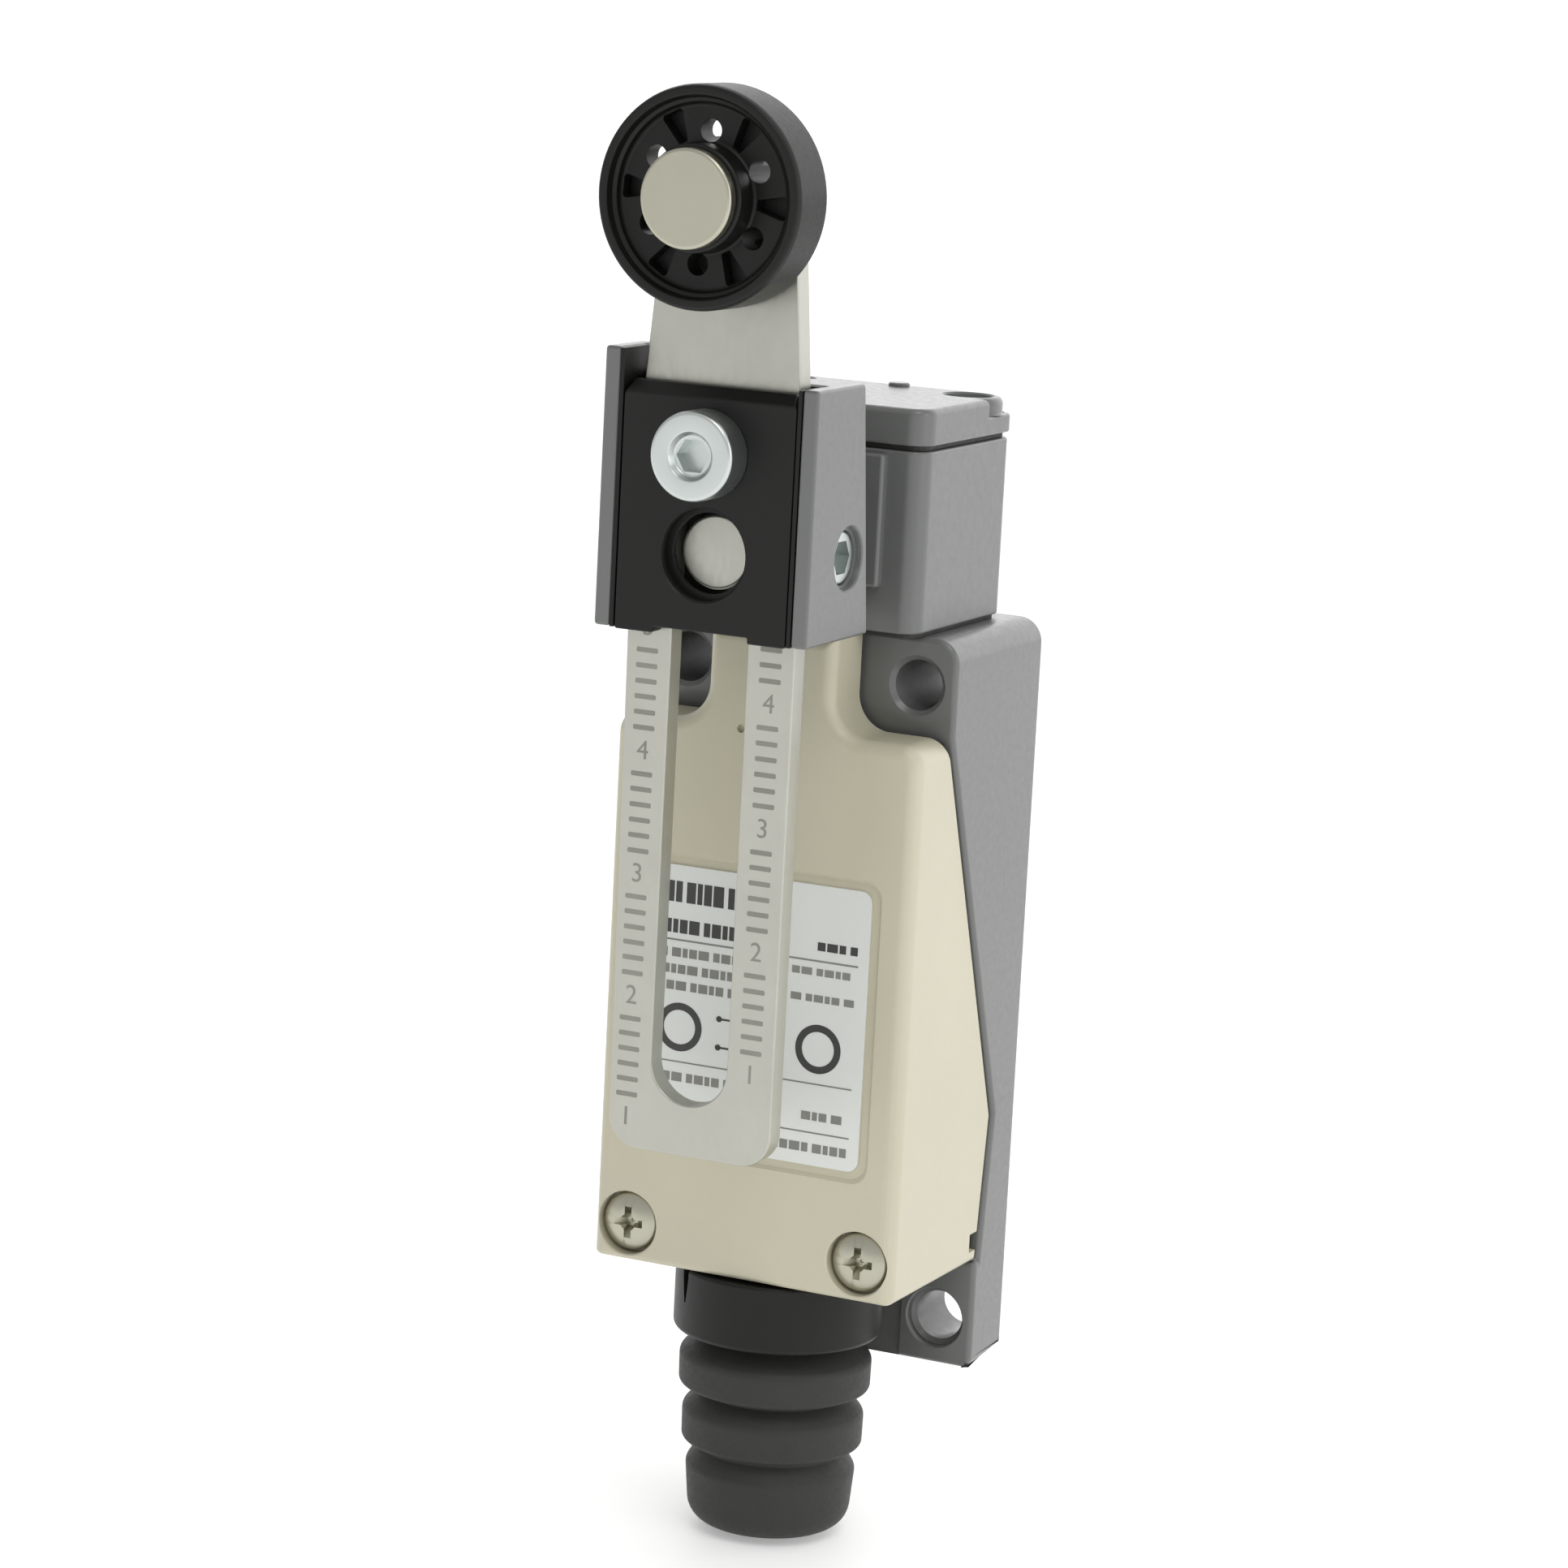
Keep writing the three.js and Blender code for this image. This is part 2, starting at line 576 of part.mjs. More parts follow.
function addHead() {
  const { halfWidth, front, back } = HEAD_CAVITY;
  add("head", makeHead(), MATERIAL.greyPaint);
  add("head_cap", makeCap(), MATERIAL.greyPaint);
  const hollow = block(-halfWidth, halfWidth, front, back, 40, 55);
  const capHoles = mirrored((side) =>
    rod("z", [side * CAP_SCREW.x, CAP_SCREW.y], CAP_SCREW.shank + FIT, 40, 55, SMALL),
  );
  const capSeal = makeSheetSeal(HEAD.top + 0.04, CAP.bottom - 0.04, [hollow, capHoles]);
  add("head_cap_seal", capSeal, MATERIAL.rubber);
  const bore = rod("z", [0, FOLLOWER.y], 4.2, 30, 40);
  const footHoles = HEAD_SCREWS.map((at) => rod("z", at, 1.2, 30, 40, SMALL));
  const footSeal = makeSheetSeal(BASE.height / 2 + 0.03, HEAD.bottom - 0.03, [bore, ...footHoles]);
  add("head_foot_seal", footSeal, MATERIAL.rubber);
  for (const [name, side] of [["left", -1], ["right", 1]]) {
    const at = [side * CAP_SCREW.x, CAP_SCREW.y];
    const low = CAP_SCREW.floor + 0.05;
    const screw = uprightScrew(at, CAP_SCREW.head, CAP_SCREW.shank, low, low + 1.3, 41);
    add("cap_screw_" + name, screw, MATERIAL.zinc);
  }
  HEAD_SCREWS.forEach((at, k) => {
    const low = HEAD_CAVITY.floor + 0.05;
    const screw = uprightScrew(at, HEAD_SCREW.head, HEAD_SCREW.shank, low, low + 1.1, 26);
    add("head_screw_" + (k + 1), screw, MATERIAL.zinc);
  });
  const bushBore = SHAFT.radius + 0.08;
  const bush = tube("y", [0, SHAFT.z], bushBore, BUSH.outer, BUSH.front, BUSH.back);
  add("shaft_bush", bush, MATERIAL.bronze);
  const ringFront = BOSS.front + 0.3;
  const ring = turned("y", [0, SHAFT.z], [
    [bushBore, ringFront + 0.3],
    [bushBore + 0.3, ringFront],
    [BUSH.outer - 0.3, ringFront],
    [BUSH.outer, ringFront + 0.3],
    [BUSH.outer, BUSH.front - 0.4],
    [BUSH.outer - 0.3, BUSH.front - FIT],
    [bushBore + 0.3, BUSH.front - FIT],
    [bushBore, BUSH.front - 0.4],
    [bushBore, ringFront + 0.3],
  ]);
  add("shaft_seal", ring, MATERIAL.rubber);
}

// ------------------------------------------------------------ shaft, cam and plunger
function addShaft() {
  const { radius, front, shoulder, back, journal, z } = SHAFT;
  const bar = turned("y", [0, z], [
    [0, front],
    [radius - 0.3, front],
    [radius, front + 0.3],
    [radius, CLIP.front - 0.08],
    [SHAFT.groove, CLIP.front - 0.08],
    [SHAFT.groove, CLIP.back + 0.08],
    [radius, CLIP.back + 0.08],
    [radius, shoulder],
    [journal, shoulder],
    [journal, back],
    [0, back],
  ]);
  const seat = block(radius - 0.3, radius + 1, SET_SCREW.y - 2.2, SET_SCREW.y + 2.2, z - 3, z + 3);
  add("shaft", cut(bar, seat), MATERIAL.steel);

  const disc = tube("y", [0, z], radius + 0.05, CAM.radius, CAM.front, CAM.back);
  const flat = block(-6, 6, CAM.front - 1, CAM.back + 1, z - 8, z - CAM.flat);
  add("cam", cut(disc, flat), MATERIAL.steel);

  const clip = tube("y", [0, z], SHAFT.groove + 0.05, CLIP.radius, CLIP.front, CLIP.back);
  const mouth = block(-1.4, 1.4, CLIP.front - 1, CLIP.back + 1, z, z + 6);
  add("retaining_clip", cut(clip, mouth), MATERIAL.zinc);
}

function addPlunger() {
  const { y, top, cup, cupFoot, stem, foot } = FOLLOWER;
  const plunger = turned("z", [0, y], [
    [0, foot],
    [stem, foot],
    [stem, cupFoot],
    [cup, cupFoot],
    [cup, top - 0.4],
    [cup - 0.4, top],
    [0, top],
  ]);
  add("cam_follower", plunger, MATERIAL.steel);
  add("return_spring", spring(0, y, 2.9, 0.35, 24.6, cupFoot - 0.1, 4), MATERIAL.steel);
}

// -------------------------------------------------------------------- lever and holder
function makeHolder() {
  const { halfWidth, wall, front, backTop, backBottom, bottom, top, leftTop, floor } = HOLDER;
  const sideView = [[front, bottom], [backBottom, bottom], [backTop, top], [front, top]];
  const rightShape = polygon(sideView);
  const leftShape = polygon([
    [front, bottom],
    [backBottom, bottom],
    [backTop, top],
    [front + 6, leftTop],
    [front, leftTop],
  ]);
  const inner = halfWidth - wall;
  const main = prism("x", rightShape, -inner, halfWidth);
  const cheek = prism("x", leftShape, -halfWidth, -inner + 0.01);
  const channel = block(-inner, inner, front - 1, floor, bottom - 1, leftTop + 1);
  const shaftBore = rod("y", [0, SHAFT.z], SHAFT.radius + 0.05, front, -20);
  const clampHole = rod("y", [0, CLAMP_SCREW.z], CLAMP_SCREW.shank + FIT, front, -20, SMALL);
  const setHole = turned("x", [SET_SCREW.y, SHAFT.z], [
    [0, 1],
    [SET_SCREW.radius + 0.06, 1],
    [SET_SCREW.radius + 0.06, SET_SCREW.outer],
    [SET_SCREW.pocket, SET_SCREW.outer],
    [SET_SCREW.pocket, 12],
    [0, 12],
  ]);
  return cut(join(main, cheek), channel, shaftBore, clampHole, setHole);
}

// The black liner that the lever slides in: two thin cheeks and a thin back.
function makeLeverGuide() {
  const { halfWidth, wall, front, bottom, top, leftTop, floor } = HOLDER;
  const outer = halfWidth - wall - 0.05;
  const inner = outer - 0.33;
  const back = block(-outer, outer, floor - 0.45, floor - 0.05, bottom, top - 0.1);
  const left = block(-outer, -inner, front + 0.05, floor - 0.05, bottom, leftTop - 0.1);
  const right = block(inner, outer, front + 0.05, floor - 0.05, bottom, top - 0.1);
  const shaftHole = rod("y", [0, SHAFT.z], SHAFT.radius + 0.2, front, -20);
  const screwHole = rod("y", [0, CLAMP_SCREW.z], CLAMP_SCREW.shank + 0.2, front, -20, SMALL);
  return cut(join(back, left, right), shaftHole, screwHole);
}

function makeClampPlate() {
  const { halfWidth, back, bottom, top, hole } = CLAMP_PLATE;
  const tab = 4.2;
  const tabDrop = 0.5;
  const chamfer = 0.9;
  const outline = polygon([
    [-halfWidth, bottom],
    [-tab, bottom],
    [-tab, bottom + tabDrop],
    [tab, bottom + tabDrop],
    [tab, bottom],
    [halfWidth, bottom],
    [halfWidth, top - 2.6],
    [halfWidth - chamfer, top],
    [-halfWidth + chamfer, top],
    [-halfWidth, top - 2.6],
  ]);
  const plate = prism("y", outline, back, HOLDER.front);
  const bevel = polygon([
    [HOLDER.front - 1, top + 0.2],
    [HOLDER.front - 1, top - 1.9],
    [HOLDER.front + 1.1, top + 0.2],
  ]);
  const shaftWindow = rod("y", [0, SHAFT.z], hole, HOLDER.front - 1, back + 1);
  const screwHole = rod("y", [0, CLAMP_SCREW.z], CLAMP_SCREW.shank + 0.2, HOLDER.front - 1, back + 1);
  return cut(plate, prism("x", bevel, -20, 20), shaftWindow, screwHole);
}

function makeClampScrew() {
  const { z, head, front, shank, end, socket, socketDepth } = CLAMP_SCREW;
  const under = HOLDER.front - 0.05;
  const body = turned("y", [0, z], [
    [0, front],
    [head - 0.3, front],
    [head, front + 0.3],
    [head, under],
    [shank, under],
    [shank, end],
    [0, end],
  ]);
  const recess = prism("y", hexagon(socket), front + socketDepth, front - 1);
  return cut(body, recess.translate([0, 0, z]));
}

function makeSetScrew() {
  const outer = SET_SCREW.outer - 0.1;
  const body = rod("x", [SET_SCREW.y, SHAFT.z], SET_SCREW.radius, SHAFT.radius - 0.2, outer, SMALL);
  const recess = prism("x", hexagon(SET_SCREW.socket), outer - SET_SCREW.socketDepth, outer + 1);
  return cut(body, recess.translate([0, SET_SCREW.y, SHAFT.z]));
}

// The slotted lever: straight sides, a taper above the holder and a round top end.
function leverOutline() {
  const { halfWidth, bottom, corner, shoulderLow, shoulderHigh, neck, tip } = LEVER;
  const tipCentre = ROLLER.z - LEVER.tipDrop;
  const shape = new THREE.Shape();
  shape.moveTo(-halfWidth + corner, bottom);
  shape.lineTo(halfWidth - corner, bottom);
  shape.absarc(halfWidth - corner, bottom + corner, corner, -Math.PI / 2, 0, false);
  shape.lineTo(halfWidth, shoulderLow);
  shape.lineTo(neck, shoulderHigh);
  shape.lineTo(tip, tipCentre);
  shape.absarc(0, tipCentre, tip, 0, Math.PI, false);
  shape.lineTo(-neck, shoulderHigh);
  shape.lineTo(-halfWidth, shoulderLow);
  shape.lineTo(-halfWidth, bottom + corner);
  shape.absarc(-halfWidth + corner, bottom + corner, corner, Math.PI, 1.5 * Math.PI, false);
  return shape;
}

function addLever() {
  const plate = prism("y", leverOutline(), LEVER.back, LEVER.front, 0, 5);
  const slot = prism("y", slotShape(LEVER.slot, LEVER_SLOT.low, LEVER_SLOT.high), -30, -40, 0, 8);
  const pinHole = rod("y", [0, ROLLER.z], ROLLER_PIN.shank + 0.05, -40, -30);
  add("lever_arm", cut(plate, slot, pinHole), MATERIAL.steel);
  const { head, shank, front, thick, tail } = ROLLER_PIN;
  const headBack = front + thick;
  const pin = turned("y", [0, ROLLER.z], [
    [0, front],
    [head - 0.25, front],
    [head, front + 0.25],
    [head, headBack],
    [shank, headBack],
    [shank, LEVER.back + 0.05],
    [tail, LEVER.back + 0.05],
    [tail - 0.5, LEVER.back + 0.9],
    [0, LEVER.back + 0.9],
  ]);
  add("roller_pin", pin, MATERIAL.nickel);
  const washer = tube("y", [0, ROLLER.z], shank + 0.06, 4.1, ROLLER.back + 0.15, LEVER.front - 0.1);
  add("roller_washer", washer, MATERIAL.zinc);
}

// The roller: a rim and a hub joined by a thin web, which has a ring of round holes
// and a tapered pocket between each two holes.
function addRoller() {
  const { z, radius, front, back, rim, hub } = ROLLER;
  const { holes, holeAt, holeRadius, firstHole, pocketFloor } = ROLLER_WEB;
  const bore = ROLLER_PIN.shank + 0.1;
  const hubFront = ROLLER_PIN.front + ROLLER_PIN.thick + FIT;
  const body = turned("y", [0, z], [
    [bore, hubFront],
    [hub, hubFront],
    [hub, ROLLER_WEB.front],
    [rim, ROLLER_WEB.front],
    [rim + 0.1, front + 0.2],
    [rim + 0.3, front],
    [radius - 0.4, front],
    [radius, front + 0.4],
    [radius, back - 0.4],
    [radius - 0.4, back],
    [rim, back],
    [rim, ROLLER_WEB.back],
    [hub + 0.4, ROLLER_WEB.back],
    [hub + 0.4, back],
    [bore, back],
    [bore, hubFront],
  ], 30);
  const pocket = prism(
    "y",
    polygon([[hub + 0.3, -0.35], [rim - 0.2, -0.95], [rim - 0.2, 0.95], [hub + 0.3, 0.35]]),
    front - 1,
    pocketFloor,
  );
  const hole = rod("y", [holeAt, 0], holeRadius, front - 1, back + 1, SMALL);
  const step = 360 / holes;
  const openings = [];
  for (let k = 0; k < holes; k += 1) {
    const angle = firstHole + k * step;
    openings.push(hole.rotate([0, -angle, 0]), pocket.rotate([0, -angle - step / 2, 0]));
  }
  const placed = openings.map((opening) => opening.translate([0, 0, z]));
  add("roller", cut(body, ...placed), MATERIAL.blackPlastic);
}

function addHolder() {
  add("lever_holder", makeHolder(), MATERIAL.greyPaint);
  add("lever_guide", makeLeverGuide(), MATERIAL.blackPlastic);
  add("clamp_plate", makeClampPlate(), MATERIAL.blackPlastic);
  add("clamp_screw", makeClampScrew(), MATERIAL.zinc);
  add("set_screw", makeSetScrew(), MATERIAL.zinc);
}

// ----------------------------------------------------------------------- cable entry
// A round collar under the case, with a threaded neck above and two notches for a key.
function makeCollar() {
  const { radius, top, bottom, shank, bore, notchAt } = COLLAR;
  const at = [0, PORT.y];
  const outline = [[0, bottom], [radius - 0.4, bottom], [radius, bottom + 0.4], [radius, top], [0, top]];
  const body = turned("z", at, outline, 24);
  const neck = rod("z", at, shank, top - 0.5, GLAND.top + 0.3, 24);
  const notch = block(radius - 0.5, radius + 1, -0.45, 0.45, top - 2.9, top + 1);
  const notches = [notchAt, notchAt + 180].map((angle) =>
    notch.rotate([0, 0, angle]).translate([0, PORT.y, 0]),
  );
  return cut(join(body, neck), rod("z", at, bore, bottom - 1, 0, 24), ...notches);
}

// The ribbed rubber boot. Each ring slopes out from a groove to a straight skirt.
function makeGland() {
  const { bore, mouth, top, bottom } = GLAND;
  const plug = COLLAR.bore - 0.05;
  const shelf = COLLAR.bottom - 0.1;
  const groove = 6.3;
  const rings = [
    { radius: 8.15, high: -29, low: -33.4 },
    { radius: 7.7, high: -33.9, low: -38.3 },
    { radius: 7.2, high: -38.8, low: bottom },
  ];
  const outside = [[bore, top], [plug, top], [plug, shelf], [groove, shelf]];
  for (const { radius, high, low } of rings) {
    outside.push([groove, high], [radius - 0.4, high - 1.2], [radius, high - 1.9]);
    if (low > bottom) outside.push([radius - 0.2, low], [groove, low]);
    else outside.push([radius - 0.4, low + 1.8], [radius - 2, low]);
  }
  outside.push([mouth, bottom], [mouth, bottom + 14], [bore, bottom + 16], [bore, top]);
  return turned("z", [0, PORT.y], outside, 24);
}

function addCableEntry() {
  add("gland_collar", makeCollar(), MATERIAL.blackPlastic);
  add("cable_gland", makeGland(), MATERIAL.rubber);
  const ring = tube("z", [0, PORT.y], GLAND.bore + 0.2, COLLAR.shank, GLAND.top + 0.4, GLAND.top + 1);
  add("gland_washer", ring, MATERIAL.zinc);
}

// --------------------------------------------------------------- built-in snap switch
const SWITCH_SCREWS = [[-7.4, 17.7], [7.4, -6.4]];
const SWITCH_GAP = -SWITCH.back - FIT;
const EARTH_AT = [0, -12.6];

function makeSwitchCase() {
  const { halfWidth, back, front, bottom, top } = SWITCH;
  const hollow = SWITCH_CAVITY;
  const body = prism("y", roundedRect(-halfWidth, halfWidth, bottom, top, 0.8), back, front);
  const cavity = block(
    -hollow.halfWidth,
    hollow.halfWidth,
    front - 1,
    hollow.back,
    hollow.bottom,
    hollow.top,
  );
  const buttonHole = rod("z", [0, FOLLOWER.y], 1.6, 10, top + 1, SMALL);
  const screws = SWITCH_SCREWS.map((at) => rod("y", at, 1.2, -20, 0, SMALL));
  return cut(body, cavity, buttonHole, ...screws);
}

function terminalSlots() {
  return TERMINALS.map(({ side, arm }) =>
    block(side * (TERMINAL.x - 1.2), side * (TERMINAL.x + 1.2), -22, -10, arm - 0.2, arm + 0.9),
  );
}

function makeSwitchLid() {
  const { halfWidth, front, bottom, top } = SWITCH;
  const outline = roundedRect(-halfWidth, halfWidth, bottom, top, 0.8);
  const plate = prism("y", outline, front - FIT, LID_FRONT);
  const holes = SWITCH_SCREWS.map((at) => rod("y", at, 1.2, -20, 0, SMALL));
  const threads = TERMINALS.map(({ side, screw }) =>
    rod("y", [side * TERMINAL.x, screw], 1.35, -20, 0, SMALL),
  );
  return cut(plate, ...holes, ...threads, ...terminalSlots());
}

// The four fixed contacts: an arm reaching in and a plate on the front for its screw.
const TERMINALS = [
  { name: "nc_left", side: -1, arm: 7, screw: 10.9, plate: [7, 14.2], tip: -1 },
  { name: "nc_right", side: 1, arm: 7, screw: 10.9, plate: [7, 14.2], tip: -1 },
  { name: "no_left", side: -1, arm: 3, screw: -0.2, plate: [-3.5, 3.7], tip: 1 },
  { name: "no_right", side: 1, arm: 3, screw: -0.2, plate: [-3.5, 3.7], tip: 1 },
];

function makeTerminal({ side, arm, screw, plate, tip }) {
  const { x, front, back, thickness } = TERMINAL;
  const reach = block(side * (x - 1), side * (x + 1), front, back, arm, arm + thickness);
  const facing = block(side * (x - 2.9), side * (x + 2.9), front, LID_FRONT - 0.1, ...plate);
  const tipFrom = tip > 0 ? arm + thickness - 0.1 : arm + 0.1;
  const tipTo = tip > 0 ? arm + thickness + 0.35 : arm - 0.2;
  const contact = rod("z", [side * x, FOLLOWER.y], 0.8, tipFrom, tipTo, 8);
  const hole = rod("y", [side * x, screw], 1.35, -21, -17, SMALL);
  return cut(join(reach, facing, contact), hole);
}

function makeBridge() {
  const { z, thickness, tip } = BRIDGE;
  const bar = block(-6.7, 6.7, FOLLOWER.y - 2.6, FOLLOWER.y + 2.6, z, z + thickness);
  const tips = mirrored((side) =>
    rod("z", [side * TERMINAL.x, FOLLOWER.y], tip, z - 0.4, z + thickness + 0.4, 8),
  );
  return cut(join(bar, tips), rod("z", [0, FOLLOWER.y], 1.7, 0, 10, SMALL));
}

function addSwitch() {
  add("switch_case", makeSwitchCase(), MATERIAL.phenolic);
  add("switch_lid", makeSwitchLid(), MATERIAL.phenolic);
  for (const terminal of TERMINALS) {
    add("terminal_" + terminal.name, makeTerminal(terminal), MATERIAL.brass);
    const at = [terminal.side * TERMINAL.x, terminal.screw];
    const { front } = TERMINAL;
    const screw = crossScrew(at, 2.6, 1.25, front - 1.9, front - 0.05, -17.1);
    add("terminal_screw_" + terminal.name, screw, MATERIAL.zinc);
  }
  SWITCH_SCREWS.forEach((at, k) => {
    const screw = crossScrew(at, 2, 1.1, LID_FRONT - 1.5, LID_FRONT - 0.05, -1.4);
    add("switch_screw_" + (k + 1), screw, MATERIAL.zinc);
  });
  const button = turned("z", [0, FOLLOWER.y], [
    [0, 0.5],
    [2.3, 0.5],
    [2.3, 1.2],
    [1.4, 1.2],
    [1.4, 21.3],
    [1.1, 21.7],
    [0, 21.7],
  ], SMALL);
  add("switch_button", button, MATERIAL.blackPlastic);
  add("contact_bridge", makeBridge(), MATERIAL.brass);
  add("button_spring", spring(0, FOLLOWER.y, 1.7, 0.25, -3.9, 0.4, 4), MATERIAL.steel);
  const earth = crossScrew(EARTH_AT, 2.6, 1.1, -6, -4.2, -1.4);
  add("earth_screw", earth, MATERIAL.brass);
  const washer = tube("y", EARTH_AT, 1.3, 2.9, -4.1, -3.5, SMALL);
  add("earth_washer", washer, MATERIAL.brass);
}

addBaseAndCover();
addHead();
addShaft();
addPlunger();
addHolder();
addLever();
addRoller();
addCableEntry();
addSwitch();

export default limitSwitch;
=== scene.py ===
"""The looks of a roller-lever limit switch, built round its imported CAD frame.

Lengths in this file are millimetres until a mesh is made, and metres after that.
+X is to the right, the front faces -Y and +Z is up, as in the CAD frame.
"""

import json
import math

import bmesh
import bpy
from mathutils import Matrix, Vector


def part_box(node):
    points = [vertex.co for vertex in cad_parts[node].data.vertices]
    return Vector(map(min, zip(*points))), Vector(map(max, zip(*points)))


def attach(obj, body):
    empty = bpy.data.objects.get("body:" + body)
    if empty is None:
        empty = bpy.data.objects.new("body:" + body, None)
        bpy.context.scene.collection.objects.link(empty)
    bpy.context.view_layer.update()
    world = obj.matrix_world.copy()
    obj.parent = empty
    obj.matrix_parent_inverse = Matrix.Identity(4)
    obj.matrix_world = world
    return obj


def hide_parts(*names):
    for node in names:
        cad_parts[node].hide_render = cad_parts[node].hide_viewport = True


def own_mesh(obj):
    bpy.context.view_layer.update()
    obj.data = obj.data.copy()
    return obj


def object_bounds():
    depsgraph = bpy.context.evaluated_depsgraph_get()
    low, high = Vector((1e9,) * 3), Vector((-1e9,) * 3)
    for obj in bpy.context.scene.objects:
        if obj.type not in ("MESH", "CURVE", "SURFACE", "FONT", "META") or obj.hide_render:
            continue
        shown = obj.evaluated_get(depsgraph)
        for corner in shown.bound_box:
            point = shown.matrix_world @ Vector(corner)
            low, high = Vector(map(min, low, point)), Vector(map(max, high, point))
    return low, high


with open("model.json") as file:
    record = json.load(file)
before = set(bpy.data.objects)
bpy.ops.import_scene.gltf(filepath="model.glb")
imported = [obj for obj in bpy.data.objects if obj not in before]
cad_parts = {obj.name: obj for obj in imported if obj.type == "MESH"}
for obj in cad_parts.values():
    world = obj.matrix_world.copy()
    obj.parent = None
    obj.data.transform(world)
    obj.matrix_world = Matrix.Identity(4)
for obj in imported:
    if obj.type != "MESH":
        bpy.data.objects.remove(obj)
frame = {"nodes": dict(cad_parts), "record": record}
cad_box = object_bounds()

MM = 0.001

# ------------------------------------------------------------------ dimensions, mm
# The base: its upper pads, its lower flange, the rounding behind, and the holes.
PAD_FRONT, PAD_FOOT = -18.0, 24.0
FLANGE_FRONT = -6.9
HEEL, REAR_ROUND = 0.9, 0.8
RELIEF_HALF, RELIEF_DEPTH = 7.4, 0.4
HOLE_X, HOLE_Z, HOLE_RADIUS = 10.5, 28.0, 2.1
PLUNGER_Y = -11

# The parting line between base and cover, seen from the side.
SEAM_FOOT = -6.2
KINK = (-4.8, -10.0)
SEAM_GAP = 0.55

# The cover, its two screws, and the cable entry below it.
COVER_FOOT = -22.5
NECK = 5.7
WALL = 1.7
SCREW_X, SCREW_Z = 10.6, -19.3
PORT_Y = -15.9
NOTCH_TURN = math.radians(52.3)

# The head's cap screws, the shaft, and the parts clamped on the shaft.
CAP_X, CAP_Y = 8.2, -5.7
SHAFT_Z = 39.5
CLAMP_Z = 47.5
SET_SCREW_Y, SET_SCREW_RADIUS = -30.1, 2.15
HOLDER_TOP = 53.2

# The lever's slot and its scale: each limb's middle on X and its first numeral on Z.
SLOT = 3.4
SLOT_FOOT, SLOT_TOP = -5.3, 50.9
SCALE_LIMBS = ((-5.45, -7.0), (5.45, -2.0))
SCALE_PITCH, SCALE_TOP = 1.25, 49
NUMERAL_STEP, NUMERAL_SIZE = 10.0, 2.2

# The roller, its web, and the six holes through the web.
ROLLER_Z = 67.5
ROLLER_FRONT = -41.1
WEB_FRONT, WEB_BACK, POCKET_FLOOR = -39.8, -37.8, -38.5
WEB_HOLES, FIRST_HOLE = 6, 26.5

# ------------------------------------------------------------------------ the camera
# The focal length is a number of pixels of the square image, and the sensor is in mm.
IMAGE_SIDE = 1932
SENSOR = 36
FOCAL = 6115.3
AZIMUTH, ELEVATION, ROLL = (math.radians(v) for v in (25.3465, 10.328, 2.978))
TARGET = (-0.049, -20.0, 18.829)
DISTANCE = 407.48


def span(node):
    """A CAD node's lowest and highest corners in millimetres."""
    low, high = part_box(node)
    return low / MM, high / MM


# ------------------------------------------------------------------- mesh building
PLACE = {
    "x": lambda a, b, along: (along, a, b),
    "y": lambda a, b, along: (a, along, b),
    "z": lambda a, b, along: (a, b, along),
}


def rounded(corners, closed=True, step=9):
    """Points of an outline whose corners are (a, b) or (a, b, radius of the arc there)."""
    points = []
    for i, (a, b, *radius) in enumerate(corners):
        here = Vector((a, b))
        inside = closed or 0 < i < len(corners) - 1
        if not radius or not radius[0] or not inside:
            points.append(here)
            continue
        back = (Vector(corners[i - 1][:2]) - here).normalized()
        ahead = (Vector(corners[(i + 1) % len(corners)][:2]) - here).normalized()
        half = back.angle(ahead) / 2
        centre = here + (back + ahead).normalized() * radius[0] / math.sin(half)
        reach = radius[0] / math.tan(half)
        start, end = here + back * reach - centre, here + ahead * reach - centre
        first = math.atan2(start.y, start.x)
        turn = math.remainder(math.atan2(end.y, end.x) - first, math.tau)
        steps = max(2, math.ceil(abs(math.degrees(turn)) / step))
        for k in range(steps + 1):
            angle = first + turn * k / steps
            points.append(centre + radius[0] * Vector((math.cos(angle), math.sin(angle))))
    return points


def rectangle(a0, a1, b0, b1, radius=0.0):
    return rounded([(a0, b0, radius), (a1, b0, radius), (a1, b1, radius), (a0, b1, radius)])


def circle(a, b, radius, sides=48):
    turns = [math.tau * k / sides for k in range(sides)]
    return [Vector((a + radius * math.cos(t), b + radius * math.sin(t))) for t in turns]


def to_object(bm, name="part"):
    """An object in metres from a bmesh in millimetres."""
    bm.normal_update()
    bmesh.ops.recalc_face_normals(bm, faces=bm.faces)
    mesh = bpy.data.meshes.new(name)
    bmesh.ops.scale(bm, vec=(MM, MM, MM), verts=bm.verts)
    bm.to_mesh(mesh)
    bm.free()
    made = bpy.data.objects.new(name, mesh)
    bpy.context.scene.collection.objects.link(made)
    return made


def band(bm, low, high):
    """Joins two rings of equal length with a band of faces."""
    for k in range(len(low)):
        j = (k + 1) % len(low)
        bm.faces.new((low[k], low[j], high[j], high[k]))


def loft(axis, sections):
    """A solid through outlines of equal length, each (outline, place along the axis)."""
    bm = bmesh.new()
    rings = []
    for outline, along in sections:
        rings.append([bm.verts.new(PLACE[axis](a, b, along)) for a, b in outline])
    bm.faces.new(rings[0])
    bm.faces.new(rings[-1])
    for low, high in zip(rings, rings[1:]):
        band(bm, low, high)
    return to_object(bm)


def prism(axis, outline, low, high):
    return loft(axis, [(outline, low), (outline, high)])


def block(x0, x1, y0, y1, z0, z1):
    return prism("z", rectangle(x0, x1, y0, y1), z0, z1)


